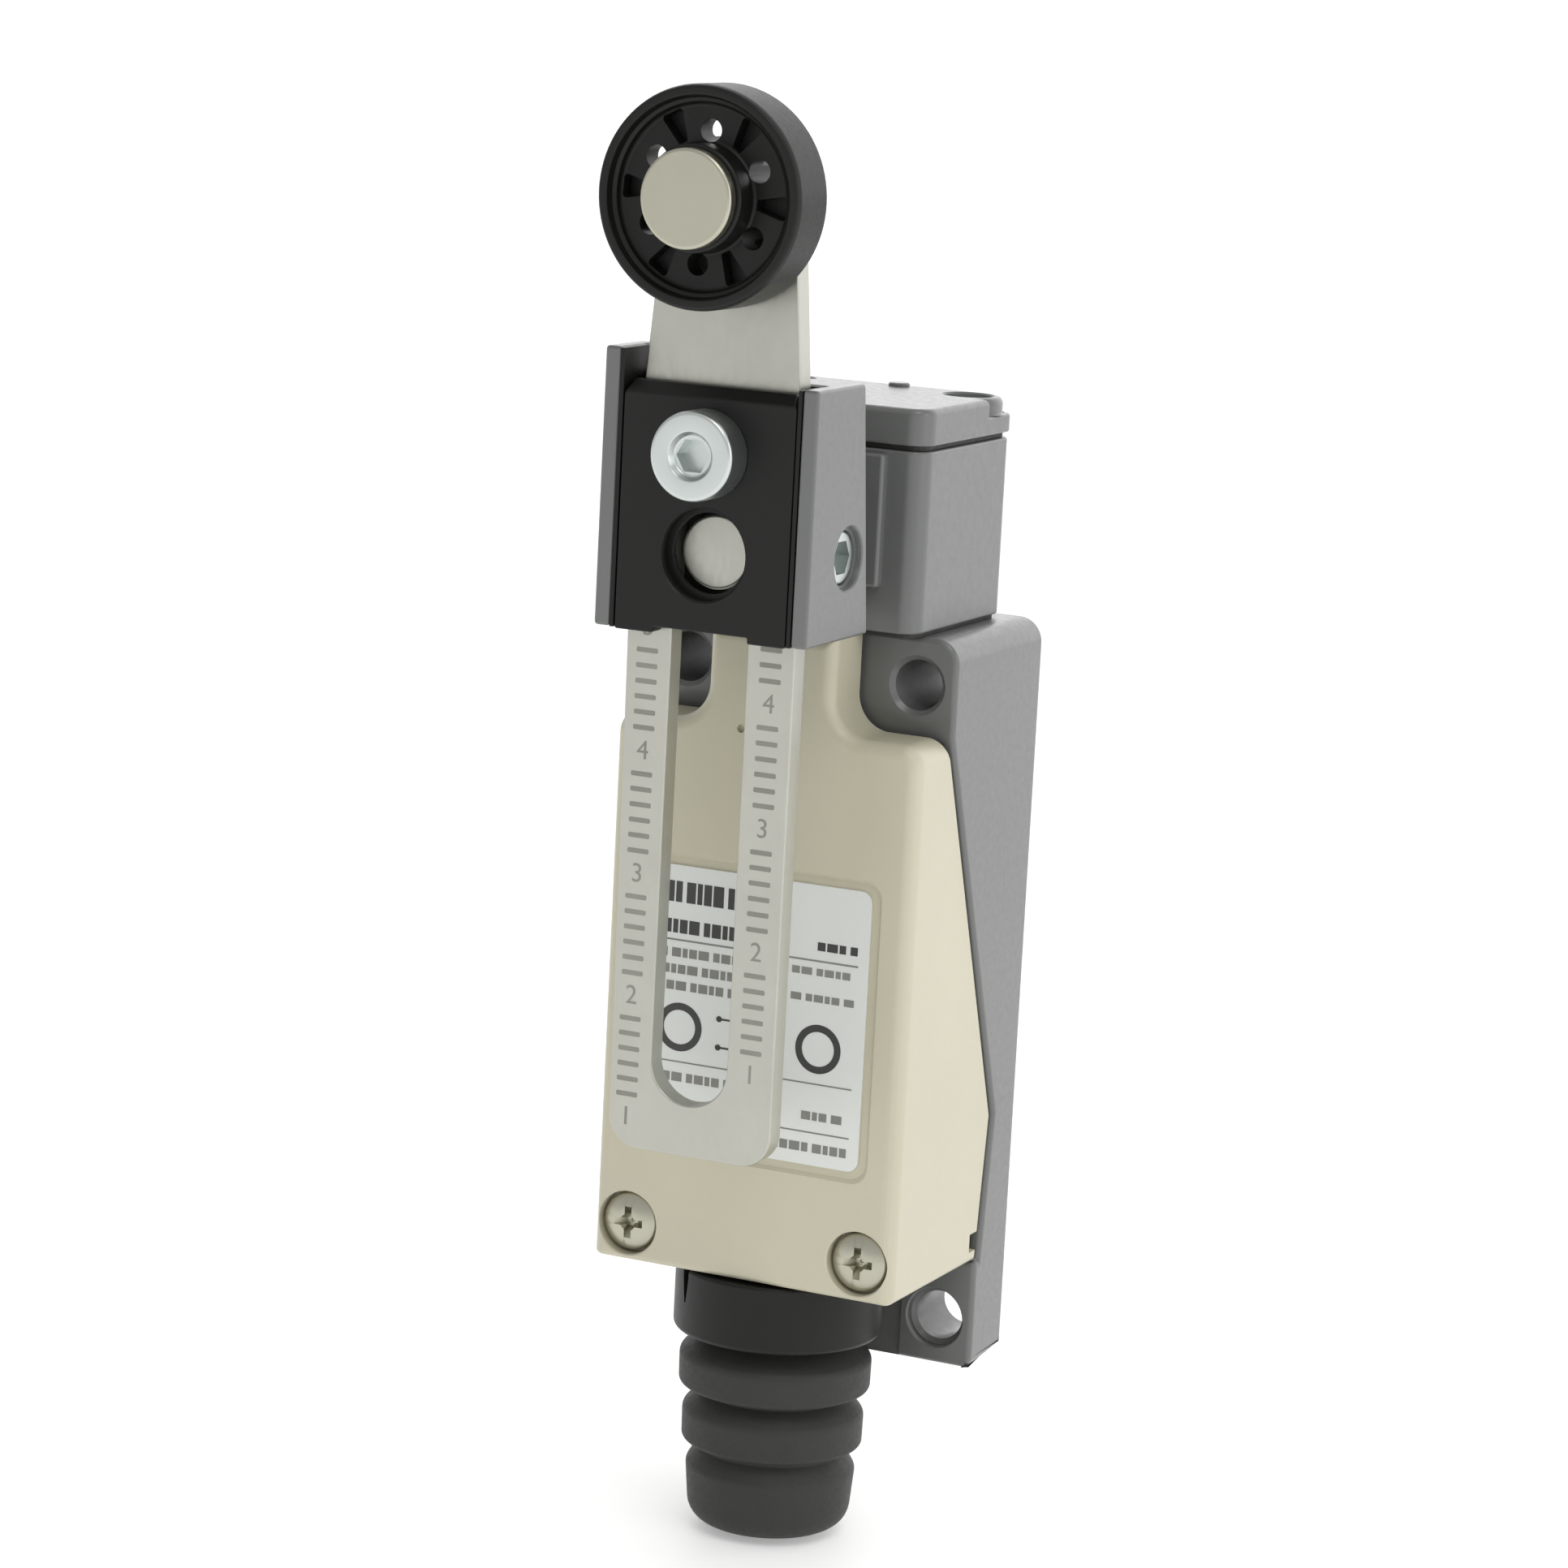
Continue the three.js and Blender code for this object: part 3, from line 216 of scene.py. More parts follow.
def turned(axis, centre, profile, sides=64):
    """A solid of revolution. The profile lists (radius, place along the axis).

    A profile that starts and ends off the axis is closed, and makes a tube.
    """
    bm = bmesh.new()
    a, b = centre
    rings = []
    for radius, along in profile:
        if radius < 1e-6:
            rings.append([bm.verts.new(PLACE[axis](a, b, along))])
        else:
            ring = circle(a, b, radius, sides)
            rings.append([bm.verts.new(PLACE[axis](p.x, p.y, along)) for p in ring])
    pairs = list(zip(rings, rings[1:]))
    if len(rings[0]) > 1 and len(rings[-1]) > 1:
        pairs.append((rings[-1], rings[0]))
    for low, high in pairs:
        for k in range(sides):
            j = (k + 1) % sides
            corners = [low[k % len(low)], low[j % len(low)]]
            corners += [high[j % len(high)], high[k % len(high)]]
            unique = list(dict.fromkeys(corners))
            if len(unique) > 2:
                bm.faces.new(unique)
    return to_object(bm)


def rod(axis, centre, radius, low, high, sides=48):
    return prism(axis, circle(*centre, radius, sides), low, high)


def flared_hole(axis, centre, radius, mouth, end, flare=0.25, sides=48):
    """A cutter for a hole from its mouth inwards, with a small chamfer at the mouth."""
    inward = 1 if end > mouth else -1
    profile = [
        (0, mouth - inward * 5),
        (radius + flare, mouth - inward * 5),
        (radius + flare, mouth - inward * 0.001),
        (radius, mouth + inward * flare),
        (radius, end),
        (0, end),
    ]
    return turned(axis, centre, profile, sides)


def apply_modifiers(obj):
    """Replaces an object's mesh by what its modifiers make of it."""
    graph = bpy.context.evaluated_depsgraph_get()
    mesh = bpy.data.meshes.new_from_object(obj.evaluated_get(graph))
    obj.modifiers.clear()
    old, obj.data = obj.data, mesh
    bpy.data.meshes.remove(old)


def combine(target, tools, operation):
    """Changes a solid by each tool in turn, and uses the tools up."""
    for tool in tools:
        change = target.modifiers.new("combine", "BOOLEAN")
        change.operation = operation
        change.solver = "MANIFOLD"
        change.object = tool
        apply_modifiers(target)
        bpy.data.objects.remove(tool)
    return target


def cut(target, *tools):
    return combine(target, tools, "DIFFERENCE")


def join(target, *tools):
    return combine(target, tools, "UNION")


def common(target, *tools):
    return combine(target, tools, "INTERSECT")


def soften(obj, width, segments=3, angle=35):
    """Rounds every edge sharper than an angle."""
    change = obj.modifiers.new("soften", "BEVEL")
    change.width = width * MM
    change.segments = segments
    change.limit_method = "ANGLE"
    change.angle_limit = math.radians(angle)
    change.use_clamp_overlap = False
    change.miter_outer = "MITER_ARC"
    apply_modifiers(obj)


def soften_where(obj, segments, width_at):
    """Rounds each edge by width_at(middle of the edge, its direction), in millimetres."""
    bm = bmesh.new()
    bm.from_mesh(obj.data)
    layer = bm.edges.layers.float.new("bevel_weight_edge")
    widest = 0.0
    widths = {}
    for edge in bm.edges:
        start, end = (v.co / MM for v in edge.verts)
        if len(edge.link_faces) == 2 and edge.calc_face_angle() > math.radians(30):
            widths[edge] = width_at((start + end) / 2, (end - start).normalized())
            widest = max(widest, widths[edge])
    for edge, width in widths.items():
        edge[layer] = width / widest
    bm.to_mesh(obj.data)
    bm.free()
    change = obj.modifiers.new("soften", "BEVEL")
    change.width = widest * MM
    change.segments = segments
    change.limit_method = "WEIGHT"
    change.use_clamp_overlap = False
    apply_modifiers(obj)


def smooth(obj, angle=32):
    obj.data.shade_smooth()
    obj.data.set_sharp_from_angle(angle=math.radians(angle))
    normals = obj.modifiers.new("normals", "WEIGHTED_NORMAL")
    normals.keep_sharp = True


def settle(obj, name, body, material):
    """Names a finished mesh, gives it a material and sets it on its body."""
    obj.name = name
    obj.data.name = name
    obj.data.materials.clear()
    obj.data.materials.append(MATERIALS[material])
    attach(obj, body)


def piece(obj, name, body, slot, node):
    """Settles a smooth mesh that stands in for a CAD node."""
    smooth(obj)
    settle(obj, name, body, slot)
    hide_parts(node)
    return obj


# ------------------------------------------------------------------------ materials
def shader(name, colour, roughness, metallic=0.0):
    """A material, its principled shader and a function that adds and wires up a node."""
    made = bpy.data.materials.new(name)
    made.use_nodes = True
    tree = made.node_tree
    surface = tree.nodes["Principled BSDF"]
    surface.inputs["Base Color"].default_value = (*colour, 1)
    surface.inputs["Roughness"].default_value = roughness
    surface.inputs["Metallic"].default_value = metallic

    def node(kind, values=None, **links):
        added = tree.nodes.new(kind)
        for key, value in (values or {}).items():
            if hasattr(added, key):
                setattr(added, key, value)
            else:
                added.inputs[key].default_value = value
        for socket, source in links.items():
            tree.links.new(source, added.inputs[socket.replace("_", " ")])
        return added

    return made, surface, node, tree.links.new


def coordinates(node, scale=(1, 1, 1)):
    place = node("ShaderNodeTexCoord").outputs["Object"]
    return node("ShaderNodeMapping", {"Scale": scale}, Vector=place).outputs["Vector"]


def noise(node, place, scale, detail=4.0, roughness=0.55):
    values = {"Scale": scale, "Detail": detail, "Roughness": roughness}
    return node("ShaderNodeTexNoise", values, Vector=place).outputs["Fac"]


def ramp(node, source, low, high, start=0.0, end=1.0):
    """Maps source from the range low..high to start..end."""
    values = {"From Min": low, "From Max": high, "To Min": start, "To Max": end}
    return node("ShaderNodeMapRange", values, Value=source).outputs["Result"]


def finish_of(name, colour, roughness, metallic=0.0, vary=0.06, patch=120, rough_vary=0.08,
              grain=900, grain_stretch=(1, 1, 1), bump=0.15, depth=0.02, coat=0.0, specular=0.5):
    """A surface with patchy tone, uneven gloss and a fine relief, all procedural.

    patch and grain are noise scales per metre; depth is the relief's height in mm.
    """
    made, surface, node, link = shader(name, colour, roughness, metallic)
    surface.inputs["Coat Weight"].default_value = coat
    surface.inputs["Coat Roughness"].default_value = 0.25
    surface.inputs["Specular IOR Level"].default_value = specular
    place = coordinates(node)
    broad = noise(node, place, patch, 3)
    fine = noise(node, coordinates(node, grain_stretch), grain, 6, 0.6)
    mix = node("ShaderNodeMix", {"data_type": "RGBA"})
    mix.inputs[6].default_value = (*[c * (1 - vary) for c in colour], 1)
    mix.inputs[7].default_value = (*[min(1, c * (1 + vary)) for c in colour], 1)
    blend = node("ShaderNodeMath", {"operation": "MULTIPLY_ADD"})
    link(fine, blend.inputs[0])
    blend.inputs[1].default_value = 0.5
    link(ramp(node, broad, 0.3, 0.7, 0, 0.5), blend.inputs[2])
    link(blend.outputs[0], mix.inputs[0])
    link(mix.outputs[2], surface.inputs["Base Color"])
    gloss = ramp(node, fine, 0.3, 0.7, max(0.02, roughness - rough_vary), roughness + rough_vary)
    link(gloss, surface.inputs["Roughness"])
    relief = node("ShaderNodeBump", {"Strength": bump, "Distance": depth * MM}, Height=fine)
    link(relief.outputs["Normal"], surface.inputs["Normal"])
    return made


def all_materials():
    """One material for each of the record's slots, and the inks printed on the part."""
    return {
        "grey_paint": finish_of(
            "grey_paint", (0.135, 0.140, 0.136), 0.40, vary=0.05, patch=90, grain=1500,
            bump=0.5, depth=0.02, coat=0.5),
        "beige_paint": finish_of(
            "beige_paint", (0.57, 0.54, 0.41), 0.42, vary=0.035, patch=80, grain=1500,
            bump=0.4, depth=0.03, coat=0.2),
        "black_plastic": finish_of(
            "black_plastic", (0.007, 0.0075, 0.0065), 0.42, vary=0.12, patch=200, grain=2600,
            bump=0.25, depth=0.012, rough_vary=0.04, specular=0.3),
        "rubber": finish_of(
            "rubber", (0.030, 0.031, 0.028), 0.60, vary=0.2, patch=150, grain=2200,
            bump=0.6, depth=0.03, specular=0.4),
        "steel": finish_of(
            "steel", (0.50, 0.50, 0.45), 0.38, 0.9, vary=0.06, patch=180, grain=2600,
            grain_stretch=(1, 1, 0.35), bump=0.5, depth=0.012, rough_vary=0.06),
        "zinc": finish_of(
            "zinc", (0.62, 0.66, 0.645), 0.34, 1.0, vary=0.025, patch=160, grain=3000,
            bump=0.08, depth=0.004, rough_vary=0.025),
        "nickel": finish_of(
            "nickel", (0.50, 0.485, 0.395), 0.36, 1.0, vary=0.03, patch=160, grain=3000,
            bump=0.08, depth=0.004, rough_vary=0.025),
        "brass": finish_of("brass", (0.68, 0.48, 0.20), 0.3, 1.0, grain=2600),
        "bronze": finish_of("bronze", (0.42, 0.25, 0.11), 0.5, 1.0, vary=0.15, grain=3500,
                            bump=0.6, depth=0.03),
        "phenolic": finish_of("phenolic", (0.05, 0.03, 0.02), 0.45, vary=0.2, grain=2000),
        "label_film": finish_of(
            "label_film", (0.74, 0.76, 0.73), 0.35, vary=0.02, patch=100, grain=1800,
            bump=0.2, depth=0.01),
        "dark_ink": finish_of(
            "dark_ink", (0.045, 0.045, 0.042), 0.5, vary=0.15, grain=4000, bump=0.3),
        "grey_ink": finish_of(
            "grey_ink", (0.22, 0.22, 0.20), 0.5, vary=0.25, grain=5000, bump=0.3),
        "scale_mark": finish_of(
            "scale_mark", (0.27, 0.27, 0.235), 0.5, 0.4, vary=0.2, grain=5000, bump=0.2),
    }


# ------------------------------------------------------------------- base and cover
def seam(gap, foot):
    """The parting line seen from the side, as (y, z) from bottom to top."""
    return [
        (SEAM_FOOT - gap, foot),
        (SEAM_FOOT - gap, COVER_FOOT),
        (KINK[0] - gap, KINK[1]),
        (PAD_FRONT - gap, PAD_FOOT),
        (PAD_FRONT - gap, PAD_FOOT + 20),
    ]


def make_base():
    low, high = span("base")
    ledge = COVER_FOOT - 0.1
    side = [(0, 44), (0, low.z + HEEL), (FLANGE_FRONT, low.z), (FLANGE_FRONT, ledge)]
    side = [Vector(p) for p in side + seam(0, ledge)]
    face = rounded([
        (low.x, low.z, 1.0),
        (high.x, low.z, 1.0),
        (high.x, high.z, 2.1),
        (low.x, high.z, 2.1),
    ])
    body = prism("x", side, low.x, high.x)
    common(body, prism("y", face, -30, 1))

    def width(middle, _):
        behind = middle.y > -0.01
        return REAR_ROUND if behind else 0.45

    soften_where(body, 4, width)
    wall, chamber_foot, chamber_top = 2.2, -16.6, 21.8
    cut(body, block(low.x + wall, high.x - wall, -30, -wall, chamber_foot, chamber_top))
    ears = block(-11.6, 11.6, -20.4, -5, -20.9, chamber_foot)
    throat = block(-7.2, 7.2, low.y, -5, -20.85, -16.65)
    relief_front = FLANGE_FRONT + RELIEF_DEPTH
    relief = block(-RELIEF_HALF, RELIEF_HALF, -30, relief_front, low.z - 1, ledge)
    join(body, ears, throat)
    cut(body, relief)
    for side_sign in (-1, 1):
        x = side_sign * HOLE_X
        upper = flared_hole("y", (x, HOLE_Z), HOLE_RADIUS, PAD_FRONT, 2, 0.4, 64)
        step = flared_hole("y", (x, -HOLE_Z), 2.55, FLANGE_FRONT, FLANGE_FRONT + 0.8, 0.12, 64)
        lower = flared_hole("y", (x, -HOLE_Z), HOLE_RADIUS, FLANGE_FRONT + 0.79, 2, 0.4, 64)
        screw = rod("y", (side_sign * SCREW_X, SCREW_Z), 1.4, -30, -9, 24)
        cut(body, upper, step, lower, screw)
    cable_port = rod("z", (0, PORT_Y), 5.2, -22, -16, 48)
    plunger_bore = rod("z", (0, PLUNGER_Y), 1.9, 20, 33, 32)
    plunger_well = rod("z", (0, PLUNGER_Y), 4.1, 24.5, 33, 48)
    cut(body, cable_port, plunger_bore, plunger_well)
    piece(body, "base_casting", "housing", "grey_paint", "base")


def cover_outline(low, high):
    return rounded([
        (low.x, COVER_FOOT),
        (high.x, COVER_FOOT),
        (high.x, PAD_FOOT, 1.9),
        (NECK, PAD_FOOT, 3.0),
        (NECK, high.z),
        (-NECK, high.z),
        (-NECK, PAD_FOOT, 3.0),
        (low.x, PAD_FOOT, 1.9),
    ], step=7)


def make_cover():
    low, high = span("cover")
    front = low.y
    body = prism("y", cover_outline(low, high), front, 2)
    behind = [Vector(p) for p in [(9, 44.0), (9, -42.5)] + seam(SEAM_GAP, COVER_FOOT - 20)]
    cut(body, prism("x", behind, -20, 20))

    def width(middle, direction):
        if middle.y > front + 0.01:
            corner = abs(direction.y) > 0.9 and middle.z < COVER_FOOT + 0.1
            return 0.6 if corner else 0.15
        if middle.z < COVER_FOOT + 0.1:
            return 0.6
        return 1.2

    soften_where(body, 5, width)
    skin = front + WALL
    inside = high.x - WALL
    chamber = block(-inside, inside, skin, 5, -16.2, 22.4)
    neck = block(-4, 4, skin, 5, 20, 30.3)
    ears = block(-inside, inside, -20.7, 5, -21, -16.1)
    throat = block(-7.6, 7.6, skin, 5, -21, -16.1)
    port = rod("z", (0, PORT_Y), 5.4, -24, -20.5)
    port_mouth = block(-5.4, 5.4, PORT_Y, 5, -24, -20.5)
    cut(body, chamber, neck, ears, throat, port, port_mouth)
    for side_sign in (-1, 1):
        centre = (side_sign * SCREW_X, SCREW_Z)
        cut(body, flared_hole("y", centre, 2.72, front, front + 1.6, 0.12, 64))
        cut(body, rod("y", centre, 1.6, front - 1, front + 5, 24))
        cut(body, block(side_sign * 12.9, side_sign * 15, -8.0, -5, -21.5, -19.9))
    label_low, label_high = span("rating_label")
    rim = 0.65
    seat = []
    for grow, y in ((rim + 0.3, front - 1), (rim + 0.3, front - 0.01), (rim, front + 0.35)):
        outline = rectangle(
            label_low.x - grow, label_high.x + grow, label_low.z - grow, label_high.z + grow, 1.5)
        seat.append((outline, y))
    cut(body, loft("y", seat))
    groove = rounded([(-1.9, 25.3, 1.85), (1.9, 25.3, 1.85), (1.9, 30.5, 1.85), (-1.9, 30.5, 1.85)])
    cut(body, prism("y", groove, front - 1, front + 1.0))
    for x in (-2.3, 2.3):
        cut(body, rod("y", (x, 23.7), 0.35, front - 1, front + 0.35, 20))
    piece(body, "front_cover", "housing", "beige_paint", "cover")


def cross_recess(centre, top, depth, reach, thickness):
    """A cutter for a cross-head recess: two tapering blades and a cone between them."""
    x, z = centre
    blades = []
    for along_x in (True, False):
        sections = []
        for shrink, y in ((1.25, top - 0.6), (1.0, top), (0.35, top + depth)):
            long = reach * shrink
            short = thickness * (0.6 + 0.4 * shrink)
            a, b = (long, short) if along_x else (short, long)
            sections.append((rectangle(x - a, x + a, z - b, z + b), y))
        blades.append(loft("y", sections))
    cone = turned("y", centre, [
        (0, top - 0.5),
        (reach * 0.62, top - 0.5),
        (reach * 0.52, top),
        (0.1, top + depth * 1.1),
        (0, top + depth * 1.1),
    ], 24)
    return blades + [cone]


def make_cross_screw(node, name, head, dome):
    """A screw along Y with a domed, cross-recessed head, in a CAD screw's place."""
    low, high = span(node)
    centre = ((low.x + high.x) / 2, (low.z + high.z) / 2)
    under = low.y + 1.37
    profile = rounded([
        (0, low.y),
        (head * 0.55, low.y + dome * 0.15),
        (head * 0.98, low.y + dome, 0.3),
        (head, under, 0.1),
        (1.3, under),
        (1.3, high.y - 0.5),
        (0.8, high.y),
        (0, high.y),
    ], closed=False)
    body = turned("y", centre, profile, 56)
    cut(body, *cross_recess(centre, low.y + 0.02, 1.05, head * 0.56, head * 0.13))
    piece(body, name, "housing", "nickel", node)


def make_label():
    low, high = span("rating_label")
    outline = rectangle(low.x, high.x, low.z, high.z, 1.0)
    sheet = prism("y", outline, low.y, high.y)
    soften(sheet, 0.04, 2)
    piece(sheet, "label_sheet", "housing", "label_film", "rating_label")
    top = low.y - 0.02
    under = low.y + 0.01

    def greeked(x0, x1, z, height, seed):
        """A row of small blocks that stands for a line of small print."""
        row, x, k = [], x0, seed
        while x < x1 - 0.4:
            long = 0.45 + 0.5 * ((k * 7) % 5) / 4
            row.append(rectangle(x, min(x + long, x1), z, z + height))
            x += long + 0.16 + (0.25 if k % 4 == 3 else 0)
            k += 1
        return row

    bold = greeked(-8.6, 1.6, 8.6, 1.75, 2)
    bold += greeked(-8.6, 1.6, 6.0, 1.15, 4)
    bold += greeked(5.6, 9.2, 6.3, 0.7, 1)
    thin = [rectangle(-8.8, 9.3, *z) for z in ((5.35, 5.5), (-4.9, -4.78), (-9.0, -8.88))]
    for k, z in enumerate((4.0, 2.6, 1.2)):
        thin += greeked(-8.6, 1.4 - 0.8 * k, z, 0.75, k + 3)
    for k, z in enumerate((4.2, 2.0)):
        thin += greeked(3.4, 9.1, z, 0.6, k + 6)
    thin += greeked(-8.6, 1.4, -6.5, 0.75, 5)
    thin += greeked(4.9, 9.1, -7.9, 0.7, 9)
    thin += greeked(-8.6, 9.1, -10.6, 0.75, 8)
    middle = -1.9
    symbol = [(circle(x, middle, 2.05), circle(x, middle, 1.45)) for x in (-6.6, 6.1)]
    ink(bold, symbol, "label_bold_print", "dark_ink", top, under)
    ink(thin, [], "label_fine_print", "grey_ink", top, under)
    contacts = contact_diagram(-0.6, middle)
    ink(contacts, [], "label_diagram", "dark_ink", top, under)


def contact_diagram(x, z):
    """Two contact pairs as in a wiring diagram: one pair bridged and one open."""
    line = 0.16
    shapes = []
    for row, gap in ((1.2, 0.0), (-1.2, 0.55)):
        shapes.append(rectangle(x - 2.2, x - 0.9, z + row - line / 2, z + row + line / 2))
        shapes.append(rectangle(x + 0.9, x + 2.2, z + row - line / 2, z + row + line / 2))
        shapes.append(circle(x - 2.4, z + row, 0.26, 20))
        shapes.append(circle(x + 2.4, z + row, 0.26, 20))
        bar_z = z + row + gap + 0.3
        shapes.append(rectangle(x - 1.3, x + 1.3, bar_z - line / 2, bar_z + line / 2))
    return shapes


def ring_at(bm, outline, y):
    return [bm.verts.new((p.x, y, p.y)) for p in outline]


def slab(bm, outline, top, under):
    """A thin flat shape that faces the front."""
    front, back = ring_at(bm, outline, top), ring_at(bm, outline, under)
    bm.faces.new(front)
    bm.faces.new(back)
    band(bm, front, back)


def ink(shapes, rings, name, material, top, under):
    """Joins printed outlines, and rings given as (outer, inner) circles, in one mesh."""
    bm = bmesh.new()
    for outline in shapes:
        slab(bm, outline, top, under)
    for outer, inner in rings:
        loops = [ring_at(bm, outer, top), ring_at(bm, outer, under)]
        loops += [ring_at(bm, inner, under), ring_at(bm, inner, top)]
        for low, high in zip(loops, loops[1:] + loops[:1]):
            band(bm, low, high)
    settle(to_object(bm), name, "housing", material)


# -------------------------------------------------------------------------- the head
def make_head():
    low, high = span("head")
    front = -20.2
    plan = rectangle(low.x, high.x, front, high.y, 1.7)
    body = prism("z", plan, low.z, high.z)
    soften(body, 0.22)
    pad = block(-7.8, 7.8, front - 0.9, front + 1, 36, high.z - 0.3)
    soften(pad, 0.35)
    boss = turned("y", (0, SHAFT_Z), [
        (0, low.y),
        (5.4, low.y),
        (5.9, low.y + 0.5),
        (5.9, front + 1),
        (0, front + 1),
    ], 64)
    join(body, pad, boss)
    chamber = block(-6.2, 6.2, -17, -5, 34, 60)
    shaft_bore = flared_hole("y", (0, SHAFT_Z), 4.45, low.y, -16, 0.15, 56)
    rear_journal = rod("y", (0, SHAFT_Z), 2.12, -6, -3.1, 40)
    plunger_bore = rod("z", (0, PLUNGER_Y), 4.2, 30, 35, 40)
    cut(body, chamber, shaft_bore, rear_journal, plunger_bore)
    for side_sign in (-1, 1):
        cut(body, rod("z", (side_sign * CAP_X, CAP_Y), 1.1, 39.5, 50, 20))
    piece(body, "head_casting", "housing", "grey_paint", "head")


def make_cap():
    low, high = span("head_cap")
    top = 50.65
    shelf = 49.2
    plan = rectangle(low.x, high.x, low.y, high.y, 1.9)
    body = prism("z", plan, low.z, top)
    for side_sign in (-1, 1):
        outer = block(side_sign * CAP_X, side_sign * 13, -7.8, 3, shelf, 60)
        web = block(side_sign * (CAP_X - 1), side_sign * 10.3, -8.8, CAP_Y, shelf - 1, 61)
        boss = rod("z", (side_sign * CAP_X, CAP_Y), 2.9, shelf - 1, 61, 56)
        cut(body, cut(outer, web, boss))
    cut(body, block(-CAP_X, CAP_X, -2.8, 3, shelf, 60))

    def width(middle, _):
        if middle.z > top - 0.01:
            return 0.5
        if middle.z < low.z + 0.01:
            return 0.2
        return 0.22

    soften_where(body, 4, width)
    for side_sign in (-1, 1):
        centre = (side_sign * CAP_X, CAP_Y)
        cut(body, flared_hole("z", centre, 2.1, top, 48.7, 0.15, 48))
        cut(body, rod("z", centre, 1.1, 45, 60, 24))
    button = turned("z", (1.2, -4.2), [(0, top - 0.2), (0.9, top - 0.2), (0.9, high.z - 0.1),
                                       (0.8, high.z), (0, high.z)], 32)
    join(body, button)
    piece(body, "head_top_plate", "housing", "grey_paint", "head_cap")


# ----------------------------------------------------------------- shaft and holder
def make_shaft():
    low, high = span("shaft")
    radius = high.x
    profile = rounded([
        (0, low.y),
        (radius, low.y, 0.3),
        (radius, -16.93),
        (2.4, -16.93),
        (2.4, -16.07),
        (radius, -16.07),
        (radius, -6.6),
        (2.0, -6.6),
        (2.0, high.y),
        (0, high.y),
    ], closed=False)
    body = turned("y", (0, SHAFT_Z), profile, 64)
    cut(body, block(radius - 0.3, radius + 1, -32.3, -27.9, SHAFT_Z - 3, SHAFT_Z + 3))
    piece(body, "operating_shaft", "swing_arm", "steel", "shaft")


def make_holder():
    low, high = span("lever_holder")
    front, foot = low.y, low.z
    wall = 1.35
    inner = high.x - wall
    right = rounded([(front, foot), (high.y, foot), (-28.5, HOLDER_TOP), (front, HOLDER_TOP)])
    left = rounded([(front, foot), (high.y, foot), (-28.5, HOLDER_TOP), (-29.4, HOLDER_TOP),
                    (front + 6, high.z), (front, high.z)])
    body = prism("x", right, -inner, high.x)
    join(body, prism("x", left, low.x, -inner + 0.02))
    cut(body, block(-inner, inner, front - 1, -32.7, foot - 1, high.z + 1))
    soften(body, 0.28)
    shaft_bore = rod("y", (0, SHAFT_Z), 3.05, -40, -20, 64)
    clamp_bore = rod("y", (0, CLAMP_Z), 2.0, -40, -20, 40)
    set_screw_bore = rod("x", (SET_SCREW_Y, SHAFT_Z), 2.21, 1, 12, 40)
    pocket = flared_hole("x", (SET_SCREW_Y, SHAFT_Z), 2.55, high.x, 8.8, 0.12, 48)
    cut(body, shaft_bore, clamp_bore, set_screw_bore, pocket)
    piece(body, "lever_bracket", "swing_arm", "grey_paint", "lever_holder")


def make_clamp_plate():
    low, high = span("clamp_plate")
    tab, drop = 4.2, 0.5
    outline = rounded([
        (low.x, low.z, 0.2),
        (-tab, low.z, 0.15),
        (-tab, low.z + drop, 0.15),
        (tab, low.z + drop, 0.15),
        (tab, low.z, 0.15),
        (high.x, low.z, 0.2),
        (high.x, high.z - 1.2, 0.4),
        (high.x - 0.4, high.z, 0.3),
        (low.x + 0.4, high.z, 0.3),
        (low.x, high.z - 1.2, 0.4),
    ])
    body = prism("y", outline, low.y, high.y)
    slope = [Vector(p) for p in [(low.y - 1, high.z + 0.2), (low.y - 1, high.z - 1.9),
                                 (low.y + 1.1, high.z + 0.2)]]
    cut(body, prism("x", slope, -20, 20))
    soften(body, 0.14)
    window_step = flared_hole("y", (0, SHAFT_Z), 3.7, low.y, low.y + 1.2, 0.12, 64)
    window = rod("y", (0, SHAFT_Z), 3.25, low.y, high.y + 1, 64)
    clamp_bore = rod("y", (0, CLAMP_Z), 2.1, low.y - 1, high.y + 1, 40)
    cut(body, window_step, window, clamp_bore)
    piece(body, "clamp_block", "swing_arm", "black_plastic", "clamp_plate")


def hexagon(a, b, corner):
    return circle(a, b, corner, 6)


def make_clamp_screw():
    low, high = span("clamp_screw")
    head = high.x
    under = -37.25
    profile = rounded([
        (0, low.y + 0.55),
        (1.6, low.y + 0.55, 0.2),
        (1.95, low.y, 0.12),
        (head, low.y, 0.35),
        (head, under, 0.12),
        (1.9, under),
        (1.9, high.y - 0.5),
        (1.4, high.y),
        (0, high.y),
    ], closed=False)
    body = turned("y", (0, CLAMP_Z), profile, 64)
    cut(body, prism("y", hexagon(0, CLAMP_Z, 1.45), low.y - 1, low.y + 1.8))
    piece(body, "clamp_bolt", "swing_arm", "zinc", "clamp_screw")


def make_set_screw():
    low, high = span("set_screw")
    y = (low.y + high.y) / 2
    profile = rounded([
        (0, low.x),
        (1.75, low.x),
        (SET_SCREW_RADIUS, low.x + 0.4),
        (SET_SCREW_RADIUS, high.x, 0.25),
        (0, high.x),
    ], closed=False)
    body = turned("x", (y, SHAFT_Z), profile, 48)
    cut(body, prism("x", hexagon(y, SHAFT_Z, 1.5), high.x - 1.6, high.x + 1))
    piece(body, "grub_screw", "swing_arm", "zinc", "set_screw")


